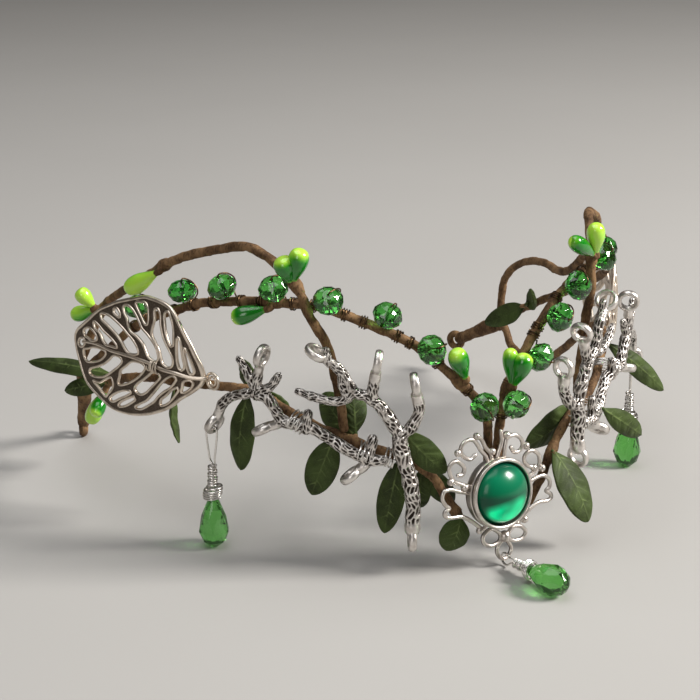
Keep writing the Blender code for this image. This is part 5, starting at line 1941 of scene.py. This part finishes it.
LEAVES: dict[str, LeafSpec] = {
    "leaf_low_front_left": LeafSpec("lower_wire_left", (-11, 14.6, 3), (-14.6, 5.4, 3.6), 8.0),
    "leaf_front_left": LeafSpec("antler_casting_left", (-26, 39.4, 1.0), (-15.6, 28.5, 4.6), 7.0),
    "leaf_hang_centre_left": LeafSpec(
        "lower_wire_left", (-27.4, 29, -2), (-30.9, 9.4, -0.4), 7.0, 10
    ),
    "leaf_hang_middle_left": LeafSpec("lower_wire_left", (-45, 35, -2), (-50.8, 19.2, 0), 8.2),
    "leaf_hang_side_left": LeafSpec("lower_wire_left", (-70.2, 43, -2), (-73, 22.4, 0), 7.4),
    "leaf_hang_rear_left": LeafSpec("lower_wire_left", (-97.6, 40, -1), (-97, 24.6, 0.6), 6.0, 50),
    "leaf_rear_upper_left": LeafSpec("lower_wire_left", (-134, 36, 5), (-158, 33.7, 22), 5.0, 50),
    "leaf_rear_lower_left": LeafSpec("lower_wire_left", (-138, 30, 6), (-147, 26.6, 14), 5.2),
    "leaf_front_right": LeafSpec("lower_wire_right", (33, 35.8, -4), (15.2, 27.8, -4.2), 9.2),
    "leaf_long_right": LeafSpec("lower_wire_right", (19, 27, 2.5), (21.8, 8.7, 13), 10.2),
    "leaf_side_right": LeafSpec("branch_casting_right", (36.8, 34.9, 6.4), (52, 21.9, 14), 6.0, 20),
    "leaf_upper_side_right": LeafSpec("lower_wire_right", (66, 43, 3), (75, 26.5, 20), 6.0, 30),
}
SPRIGS: dict[str, tuple[LeafSpec, LeafSpec]] = {
    "sprig_side_left": (
        LeafSpec("lower_wire_left", (-66, 47, -4), (-77.6, 51.4, -6), 5.6),
        LeafSpec("lower_wire_left", (-66, 47, -4), (-59.6, 40.6, -4.6), 5.0),
    ),
    "sprig_middle_left": (
        LeafSpec("lower_wire_left", (-38.6, 37.6, -4), (-50.6, 45.6, -8), 8.4),
        LeafSpec("lower_wire_left", (-38.6, 37.6, -4), (-41.4, 48.6, -9), 6.6, 20),
    ),
    "sprig_front_left": (
        LeafSpec("lower_wire_left", (-20.6, 28, -4), (-10.5, 15.5, -4), 6.0),
        LeafSpec("lower_wire_left", (-20.6, 28, -4), (-20.5, 14.5, -5), 5.4, 20),
    ),
    "sprig_rear_right": (
        LeafSpec("vine_wire_right", (135, 36, -5), (121, 44, -7.5), 6.4),
        LeafSpec("vine_wire_right", (135, 36, -5), (150, 26.6, -7.5), 6.6),
    ),
}


@dataclass
class ClothLeaves:
    """Pressed cloth leaves with a raised midrib and branching side veins."""

    blade: float = 0.5
    stem: float = 0.62
    rows: int = 84
    columns: int = 30
    pairs: int = 4
    leaf_half: float = 0.35
    leaf_tie: float = 0.62
    sprig_half: float = 0.7
    sprig_tie: float = 0.8
    finish: LeafFinish = LeafFinish("leaf_cloth")

    SHARES = (
        (0.0, 0.12), (0.1, 0.46), (0.22, 0.8), (0.4, 1.04), (0.62, 1.02), (0.8, 0.8), (0.92, 0.5),
        (0.98, 0.24), (1.0, 0.06),
    )  # fmt: skip

    def frame(self, start: Vector, tip: Vector, along: float, roll_deg: float) -> Matrix:
        """Frame of a leaf: its x from the base to the tip, its z out of its front."""
        ahead = (tip - start).normalized()
        out = HEAD.outward(along)
        out = (out - ahead * out.dot(ahead)).normalized()
        out = Matrix.Rotation(math.radians(roll_deg), 3, ahead) @ out
        frame = Matrix((ahead, out.cross(ahead), out)).transposed().to_4x4()
        frame.translation = start
        return frame

    def leaf(self, length: float, width: float, seed: float) -> Raw:
        """One leaf along x.

        Args:
            length: its length.
            width: its width at its widest.
            seed: a number that sets its veins apart.

        Returns:
            The leaf.
        """
        edge = smooth([(t, w, 0.0) for t, w in self.SHARES], 0.03)
        known_t, known_w = [p.x for p in edge], [p.y for p in edge]
        t = np.linspace(0, 1, self.rows + 1)[:, None]
        a = np.linspace(-1, 1, self.columns + 1)[None, :]
        share = np.interp(t, known_t, known_w)
        half = share * width / 2
        x = np.broadcast_to(length * t, (self.rows + 1, self.columns + 1))
        y = a * half
        z = 0.9 * np.sin(np.pi * t) - t * t + 0.55 * (1 - np.abs(a)) * (0.3 + share)
        side = np.where(a < 0, 0.05, 0.0)
        veins = np.exp(-((y / 0.34) ** 2)) * (1 - 0.5 * t)
        slope, apart = 0.78, 0.8 / self.pairs
        for k in range(self.pairs):
            foot = 0.09 + apart * k + side + 0.03 * math.sin(seed * 3.1 + k * 1.9)
            bent = 0.5 * np.sin(2.6 * np.abs(a) + 2.3 * k + seed) * np.abs(a)
            curve = foot + (np.abs(y) * slope + 0.05 * np.abs(y) ** 2 + bent) / length
            off = (t - curve) * length / math.hypot(1, slope)
            reach = 1.2 + 0.25 * math.sin(seed * 1.3 + k * 2.9)
            vein = np.exp(-((off / 0.25) ** 2)) * np.clip(reach - 1.2 * np.abs(a), 0, 1)
            veins = np.maximum(veins, 0.9 * vein)
        swell = np.zeros_like(y)
        for k in range(self.pairs + 1):
            middle = 0.09 + apart * (k - 0.5) + side + np.abs(y) * slope / length
            swell += np.exp(-(((t - middle) / (0.36 * apart)) ** 2))
        swell *= np.sin(np.pi * np.clip(np.abs(a), 0, 1)) * share
        wave = 0.12 * np.abs(a) ** 3 * np.sin(t * 19 + seed + (a > 0) * 1.3) * share
        top = z + 0.18 * veins + 0.40 * swell + wave
        bottom = top - self.blade * (0.55 + 0.45 * share)
        shift = self.blade / 2
        rim = np.clip((np.abs(a) - 0.86) / 0.14, 0, 1) * np.ones_like(t)
        front, back = (
            np.stack([x, y, layer + shift], axis=-1).reshape(-1, 3) for layer in (top, bottom)
        )
        tone = np.clip(veins + 0.35 * rim, 0, 1).reshape(-1)
        wide = self.columns + 1
        count = (self.rows + 1) * wide
        faces = []
        for i in range(self.rows):
            for j in range(self.columns):
                p = i * wide + j
                faces.append((p, p + wide, p + wide + 1, p + 1))
                q = p + count
                faces.append((q, q + 1, q + wide + 1, q + wide))
        border = list(range(wide))
        border += [i * wide + wide - 1 for i in range(1, self.rows + 1)]
        border += [self.rows * wide + j for j in range(wide - 2, -1, -1)]
        border += [i * wide for i in range(self.rows - 1, 0, -1)]
        for k, p in enumerate(border):
            q = border[(k + 1) % len(border)]
            faces.append((p, q, q + count, p + count))
        return Raw(np.concatenate([front, back]), faces, np.concatenate([tone, 0.6 * tone]))

    def build(self, wires: dict[str, Wire], ties: Ties) -> None:
        """Makes the leaves."""
        material = self.finish.build()
        for number, (name, spec) in enumerate(LEAVES.items()):
            near = HEAD.place(*spec.near)
            held = spec.holder in wires
            start = seat(wires[spec.holder], near, self.leaf_half) if held else near
            end = HEAD.place(*spec.tip)
            frame = self.frame(start, end, spec.near[0], spec.roll)
            leaf = self.leaf((end - start).length, spec.width, number * 1.7)
            ahead = (end - start).normalized()
            stalk = swept([start - ahead * 0.4, start, start + ahead * 3.0], [0.5, 0.5, 0.32], 10)
            stalk.relief[:] = 0.2
            body = Raw.joined([leaf.moved(frame), stalk])
            piece(f"{name}_blade", body, material, [name], Slot.LEAF)
            if held:
                ties.add(wires[spec.holder], start, [ahead], self.leaf_tie)
        for number, (name, specs) in enumerate(SPRIGS.items()):
            wire = wires[specs[0].holder]
            start = seat(wire, HEAD.place(*specs[0].near), self.sprig_half)
            parts, ways = [], []
            for k, spec in enumerate(specs):
                end = HEAD.place(*spec.tip)
                way = (end - start).normalized()
                foot = start + way * 0.8
                frame = self.frame(foot, end, spec.near[0], spec.roll)
                leaf = self.leaf((end - foot).length, spec.width, 31.0 + number * 2.3 + k)
                parts.append(leaf.moved(frame))
                ways.append(way)
            fork = start + (ways[0] + ways[1]) * 0.15
            bend = smooth([start + ways[0] * 2.6, fork, start + ways[1] * 2.6], 0.4)
            stem = swept(bend, self.stem, 10)
            stem.relief[:] = 0.2
            body = Raw.joined([*parts, stem])
            piece(f"{name}_blades", body, material, [name], Slot.LEAF)
            ties.add(wire, start, [(ways[0] + ways[1]).normalized()], self.sprig_tie)


@dataclass(frozen=True)
class BudSpec:
    """One bud: its tip, its radius, how deep its green is, which is painted shade where it is
    large, and which side has it.
    """

    tip: Row
    radius: float
    dip: float = 1.1
    cheek: Row = (0.75, -0.55, -0.35)


@dataclass(frozen=True)
class Bunch:
    """Buds that are tied together: their wire, a point beside it there, and the buds."""

    holder: str
    near: Row
    buds: tuple[BudSpec, ...]


BUDS: dict[str, Bunch] = {
    "buds_arch_left": Bunch("arch_wire_left", (-53.4, 79.6, 7), (
        BudSpec((-55.3, 87, 7.6), 2.8, 1.2, (0.3, -0.9, -0.7)),
        BudSpec((-50.9, 89.2, 6), 2.7, 1.1, (0.7, -0.7, 0.1)),
    )),
    "bud_vine_left": Bunch("vine_wire_left", (-61, 70.6, 3), (
        BudSpec((-70.3, 68, 5.6), 2.5, 1.5, (-0.6, -0.7, 0.6)),
    )),
    "bud_arch_rear_left": Bunch("arch_wire_left", (-99.5, 73, 4), (
        BudSpec((-110, 67.4, 6.6), 2.7, 0.35, (0.3, 0.2, 0.9)),
    )),
    "buds_rear_upper_left": Bunch("arch_wire_left", (-143, 52.6, 6), (
        BudSpec((-145, 58.2, 8.6), 2.4, 0.4, (0.7, 0.1, -0.7)),
        BudSpec((-149.5, 49, 9.4), 2.4, 0.7, (0.5, 0.1, -0.9)),
    )),
    "buds_rear_lower_left": Bunch("lower_wire_left", (-141, 26, 3), (
        BudSpec((-137.6, 20.6, 7.4), 2.3, 1.6),
        BudSpec((-147, 15.2, 6.4), 2.6, 0.35, (0.9, 0.4, 0.2)),
    )),
    "bud_front_left": Bunch("vine_wire_left", (-9.6, 52.8, 1.6), (
        BudSpec((-13.6, 62.3, 4), 2.7, 1.4, (0.05, -1.0, -0.2)),
    )),
    "buds_front_right": Bunch("vine_wire_right", (3.2, 48.9, 3), (
        BudSpec((2.2, 60.3, 2.2), 2.2, 1.2, (0.5, -0.85, 0.0)),
        BudSpec((4.9, 59.1, 5.6), 2.7, 1.7, (-0.2, -1.0, -0.2)),
    )),
    "buds_arch_right": Bunch("arch_wire_right", (30.6, 80.6, 6), (
        BudSpec((28.3, 90, 6), 2.5, 0.3, (0.9, 0.3, 0.0)),
        # Painted shade: this bud's large depth makes it deep green all over.
        BudSpec((20.6, 86.9, 4), 2.3, 3.0, (0.3, -0.9, 0.0)),
    )),
}  # fmt: skip


@dataclass
class Buds:
    """Lacquered teardrop buds on short stems."""

    finish: BudFinish = BudFinish("bud_lacquer")
    steps: int = 28
    stem_half: float = 0.7
    tie: float = 1.15

    PROFILE = (
        (0.0, 1.0), (0.42, 0.985), (0.78, 0.92), (0.97, 0.80), (1.0, 0.68), (0.93, 0.55),
        (0.74, 0.40), (0.52, 0.26), (0.34, 0.13), (0.27, 0.0),
    )  # fmt: skip

    def bud(self, spec: BudSpec, start: Vector, seed: float) -> Raw:
        """One bud from its stem to its round tip."""
        way = HEAD.place(*spec.tip) - start
        length = way.length
        line = smooth([(r, t, 0.0) for r, t in self.PROFILE], 0.035)
        profile = [(spec.radius * max(p.x, 0.0), length * p.y) for p in line]
        profile[0] = (0.0, length)
        profile.append((0.0, 0.0))
        made = turned(profile, self.steps)
        made.along = made.verts[:, 2] / length
        frame = stand(start, way)
        # One cheek of each bud is deeper green, by its own depth; a large depth paints shade over
        # the whole bud.
        front = frame.to_3x3().inverted() @ Vector(spec.cheek)
        turn = np.arctan2(made.verts[:, 1], made.verts[:, 0]) - math.atan2(front.y, front.x)
        made.relief = spec.dip * (0.62 + 0.38 * np.cos(turn + 0.3 * math.sin(seed)))
        return made.moved(frame)

    def build(self, wires: dict[str, Wire], ties: Ties) -> None:
        """Makes the buds."""
        material = self.finish.build()
        for number, (name, bunch) in enumerate(BUDS.items()):
            wire = wires[bunch.holder]
            start = seat(wire, HEAD.place(*bunch.near), self.stem_half)
            parts = [
                self.bud(spec, start, 1.9 * number + 2.6 * k + 0.7)
                for k, spec in enumerate(bunch.buds)
            ]
            piece(f"{name}_lacquer", Raw.joined(parts), material, [name], Slot.BUD)
            ways = [(HEAD.place(*spec.tip) - start).normalized() for spec in bunch.buds]
            ties.add(wire, start, ways, self.tie)


@dataclass
class Ties:
    """Turns of tape that bind the stems of leaves and buds to their wires."""

    tape: Tape = field(default_factory=lambda: Tape(1.9, 0.13, 0.10, 0.08, sides=18, step=0.34))
    half_length: float = 2.4
    parts: list[Raw] = field(default_factory=list)

    def add(self, wire: Wire, start: Vector, ways: Sequence[Vector], size: float) -> None:
        """Adds one tie.

        Args:
            wire: the wire.
            start: where the stems leave it.
            ways: the direction of each stem.
            size: radius of a taped stem.
        """
        index = wire.nearest(start)
        reach = round(self.half_length / WIRE_STEP)
        span = wire.path[max(0, index - reach) : index + reach + 1]
        path = smooth(span[::3] if len(span) > 6 else span, self.tape.step)
        seed = 0.7 * len(self.parts)
        ends = np.linspace(-1, 1, len(path))
        radii = wire.radius + 0.12 + 0.36 * (1 - ends**2) * min(1.0, size)
        self.parts.append(self.tape.wrap(path, radii, seed))
        centre = wire.path[index]
        for k, way in enumerate(ways):
            path = smooth([centre, start + way * 0.2, start + way * 1.7], self.tape.step)
            radii = np.linspace(size * 1.15, size * 0.78, len(path))
            self.parts.append(self.tape.wrap(path, radii, seed + 3.3 + k))

    def build(self, material: bpy.types.Material) -> None:
        """Makes the ties as one piece."""
        piece("stem_ties", Raw.joined(self.parts), material, slot=Slot.TAPE)


# Drops and silver bindings


@dataclass
class Drop:
    """A glass drop in its wire loop, coiled neck and loose wraps."""

    name: str
    hook: Vector
    way: Vector
    across: Vector
    leg: float
    loop: tuple[float, float]
    neck_lift: float = 0.0
    neck_length: float = 5.6
    wire_radius: float = 0.3
    sides: int = 10

    PROFILE = (
        (0.0, 0.9, 0.0), (2.9, 2.05, 0.5), (6.4, 3.45, 0.0), (10.7, 4.3, 0.5), (13.7, 3.2, 0.0),
        (15.4, 1.3, 0.5),
    )  # fmt: skip

    def wire(self) -> list[Vector]:
        """The silver wire about z: the loop, the neck's coil and the wraps on the stone."""
        leg, (wide, high) = self.leg, self.loop
        low = self.neck_lift - leg
        corners = (
            (0, 0, -leg - 4.6), (0, 0, low - 0.6), (-0.45 * wide, 0, low + 1.2), (-wide, 0, -0.9),
            (-0.84 * wide, 0, 0.5 * high), (0, 0, high), (0.84 * wide, 0, 0.5 * high),
            (wide, 0, -0.9), (0.9, 0, min(-1.6, low + 1.4)),
        )  # fmt: skip
        points = smooth(corners, 0.35)
        per_turn, neck_turns, wide_turns = 18, 8, 5
        neck = -leg - 0.7 + self.neck_lift
        for k in range(neck_turns * per_turn):
            angle = 2 * math.pi * k / per_turn
            share = k / (neck_turns * per_turn)
            radius = 0.98 + 0.14 * math.sin(k * 0.23) + 0.25 * share
            points.append(Vector(polar(radius, angle, neck - self.neck_length * share)))
        bottom = neck - self.neck_length
        for k in range(wide_turns * per_turn + 1):
            angle = 2 * math.pi * k / per_turn
            share = k / (wide_turns * per_turn)
            radius = 1.2 + 1.3 * min(1, 4 * share) + 0.16 * math.sin(k * 0.41)
            tilt = 0.45 * math.cos(angle - 0.8)
            height = bottom - 0.2 - (1.9 + self.neck_lift * 0.6) * share + tilt * min(1, 4 * share)
            points.append(Vector(polar(radius, angle, height)))
        return points

    def build(
        self, sweep: SweepTree, silver: bpy.types.Material, glass: bpy.types.Material
    ) -> None:
        """Makes the drop."""
        frame = stand(self.hook, -self.way, self.across)
        path = [frame @ point for point in self.wire()]
        coil = raised(sweep.draw([path], self.wire_radius, 10, silver))
        piece(f"{self.name}_coil", coil, silver, [f"{self.name}_wire"], Slot.SILVER)
        top = -self.leg - 6.6
        rings = [(radius, top - below, turn) for below, radius, turn in self.PROFILE]
        stone = Raw.of(evaluated(cut_stone(rings, self.sides, 0.06))).moved(frame)
        nodes = [f"{self.name}_stone"]
        piece(f"{self.name}_crystal", stone, glass, nodes, Slot.DROP, is_smooth=False)


@dataclass
class Drops:
    """The three drops: one on a ring of each branch, and one that lies in front."""

    setting: CentreSetting
    ring_far: float = 5.7
    lowest_loop: tuple[float, float] = (1.0, -18.9)
    lying_to: Row = (1.9, -97.6, 4.35)
    glass: GlassFinish = GlassFinish(
        "drop_crystal", (0.13, 0.52, 0.09), (0.22, 0.64, 0.17), 0.03, 1.42
    )
    silver: SilverFinish = SilverFinish("drop_wire_silver", worn=(0.62, 0.60, 0.58), gloss=0.16)

    def build(self, sweep: SweepTree) -> None:
        """Makes them."""
        silver, glass = self.silver.build(), self.glass.build()
        down = Vector((0, 0, -1))
        for name, stance in (("drop_left", LEFT_STANCE), ("drop_right", RIGHT_STANCE)):
            rows = BRANCH[0].rows
            ends = [stance.place(row) for row in rows[-2:]]
            hook = ends[1] + (ends[1] - ends[0]).normalized() * self.ring_far
            across = HEAD.outward(stance.flip * rows[-1][0]).cross(down)
            Drop(name, hook, down, across, 12.1, (1.9, 1.85), 2.6).build(sweep, silver, glass)
        hook = self.setting.frame() @ Vector((*self.lowest_loop, 0.0))
        way = Vector(self.lying_to) + FRAME_SHIFT - hook
        lying = Drop("drop_centre", hook, way, Vector((0, 0, 1)), 3.6, (1.6, 1.5))
        lying.build(sweep, silver, glass)


@dataclass
class Bindings:
    """Silver wire that binds the castings to the lower wires."""

    places: tuple[tuple[float, float, float], ...] = (
        (-53.2, 41.0, 6), (-36.2, 33.6, 5), (-29.6, 32.4, 4),
    )  # fmt: skip
    wire_radius: float = 0.22
    pitch: float = 0.62
    half_out: float = 3.75
    half_high: float = 2.05
    middle_out: float = 2.35
    points_a_turn: int = 26
    squareness: float = 2.6
    silver: SilverFinish = SilverFinish("binding_silver", worn=(0.60, 0.57, 0.54), gloss=0.2)

    def build(self, sweep: SweepTree, wires: dict[str, Wire]) -> None:
        """Makes the bindings of both sides."""
        material = self.silver.build()
        for side in Side:
            wire = wires[f"lower_wire_{side.word}"]
            paths = []
            for along, height, turns in self.places:
                where = -along * side.value
                centre = HEAD.place(where, height, self.middle_out)
                index = wire.nearest(HEAD.place(where, height, 0.0))
                way = (wire.path[index + 3] - wire.path[index - 3]).normalized()
                out = HEAD.outward(where)
                out = (out - way * out.dot(way)).normalized()
                up = out.cross(way)
                lift = (wire.path[index] - centre).dot(up) * 0.5
                path = []
                for k in range(round(turns * self.points_a_turn) + 1):
                    done = k / self.points_a_turn
                    angle = 2 * math.pi * k / self.points_a_turn
                    shift = self.pitch * (done - turns / 2) + 0.3 * math.sin(k * 0.37 + where)
                    c, s = math.cos(angle), math.sin(angle)
                    # A superellipse hugs the twig and the wire better than a round turn.
                    power = self.squareness
                    reach = (abs(c) ** power + abs(s) ** power) ** (-1 / power)
                    path.append(
                        centre
                        + out * (self.half_out * reach * c)
                        + up * (self.half_high * reach * s + lift)
                        + way * shift
                    )
                paths.append(path)
            wraps = raised(sweep.draw(paths, self.wire_radius, 8, material))
            piece(f"bindings_{side.word}", wraps, material, slot=Slot.SILVER)


# Studio


@dataclass(frozen=True)
class AreaLight:
    """A soft box."""

    name: str
    place: Row
    target: Row
    size: tuple[float, float]
    energy: float
    colour: Colour = (1.0, 1.0, 1.0)

    def build(self) -> None:
        """Hangs the light."""
        data = bpy.data.lights.new(self.name, "AREA")
        data.shape = "RECTANGLE"
        data.size, data.size_y = self.size
        data.energy = self.energy
        data.color = self.colour
        obj = linked(data)
        obj.location = self.place
        way = Vector(self.target) - Vector(self.place)
        obj.rotation_euler = way.to_track_quat("-Z", "Y").to_euler()


@dataclass
class Studio:
    """Floor, lights and the camera at the photograph's place."""

    camera_place: Row = (-0.2271, -0.4277, 0.20461)
    camera_turn_deg: Row = (71.6, 0.0, -26.5)
    lens: float = 90.0
    sensor: float = 36.0
    floor_size: float = 14.0
    floor_tones: tuple[Colour, Colour] = ((0.36, 0.35, 0.335), (0.38, 0.37, 0.355))
    world: Colour = (0.52, 0.50, 0.48)
    world_strength: float = 0.16

    def floor(self) -> None:
        """A plain pale floor of one even tone."""
        made = bmesh.new()
        bmesh.ops.create_circle(made, cap_ends=True, radius=self.floor_size / 2, segments=64)
        mesh = bpy.data.meshes.new("studio_floor")
        made.to_mesh(mesh)
        made.free()
        obj = linked(mesh)
        shader = Shader("studio_floor")
        tone = shader.mix(shader.noise(8.0), *self.floor_tones)
        shader.set(Base_Color=tone, Roughness=0.55, Specular_IOR_Level=0.2)
        mesh.materials.append(shader.material)

    def build(self) -> None:
        """Sets the stage."""
        self.floor()
        world = bpy.data.worlds.new("studio")
        bpy.context.scene.world = world
        world.use_nodes = True
        back = world.node_tree.nodes["Background"]
        back.inputs["Color"].default_value = (*self.world, 1.0)
        back.inputs["Strength"].default_value = self.world_strength
        bpy.context.scene.view_settings.view_transform = "Standard"
        middle = (0.0, -0.02, 0.04)
        for light in (
            AreaLight(
                "key_window", (1.05, -0.70, 0.95), middle, (0.46, 0.46), 44.0, (1, 0.97, 0.93)
            ),
            AreaLight("top_box", (-0.15, 0.05, 1.10), middle, (1.1, 0.9), 8.0, (0.97, 0.98, 1.0)),
            AreaLight("side_box", (-0.85, -0.80, 0.50), middle, (0.4, 0.6), 2.4, (1, 0.98, 0.96)),
        ):
            light.build()
        data = bpy.data.cameras.new("camera")
        data.lens = self.lens
        data.sensor_width = self.sensor
        data.clip_start = 0.01
        camera = linked(data)
        camera.location = self.camera_place
        camera.rotation_euler = tuple(math.radians(a) for a in self.camera_turn_deg)
        bpy.context.scene.camera = camera


def main() -> None:
    """Builds the looks round the frame."""
    logging.basicConfig(level=logging.INFO, format="%(name)s: %(message)s")
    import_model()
    Studio().build()
    sweep, studs = SweepTree(), StudTree()
    frame = WireFrame()
    frame.build()
    ties = Ties()
    CrystalBeads().build(frame.wires, sweep)
    setting = CentreSetting()
    setting.build(studs)
    Castings().build()
    leaf_silver = SilverFinish(
        "leaf_silver", (0.78, 0.68, 0.57), (0.48, 0.40, 0.32), (0.075, 0.053, 0.036), 0.26
    ).build()
    for side in Side:
        LeafPendant(side).build(leaf_silver)
    ClothLeaves().build(frame.wires, ties)
    Buds().build(frame.wires, ties)
    ties.build(frame.material)
    Drops(setting).build(sweep)
    Bindings().build(sweep, frame.wires)


if __name__ == "__main__":
    main()
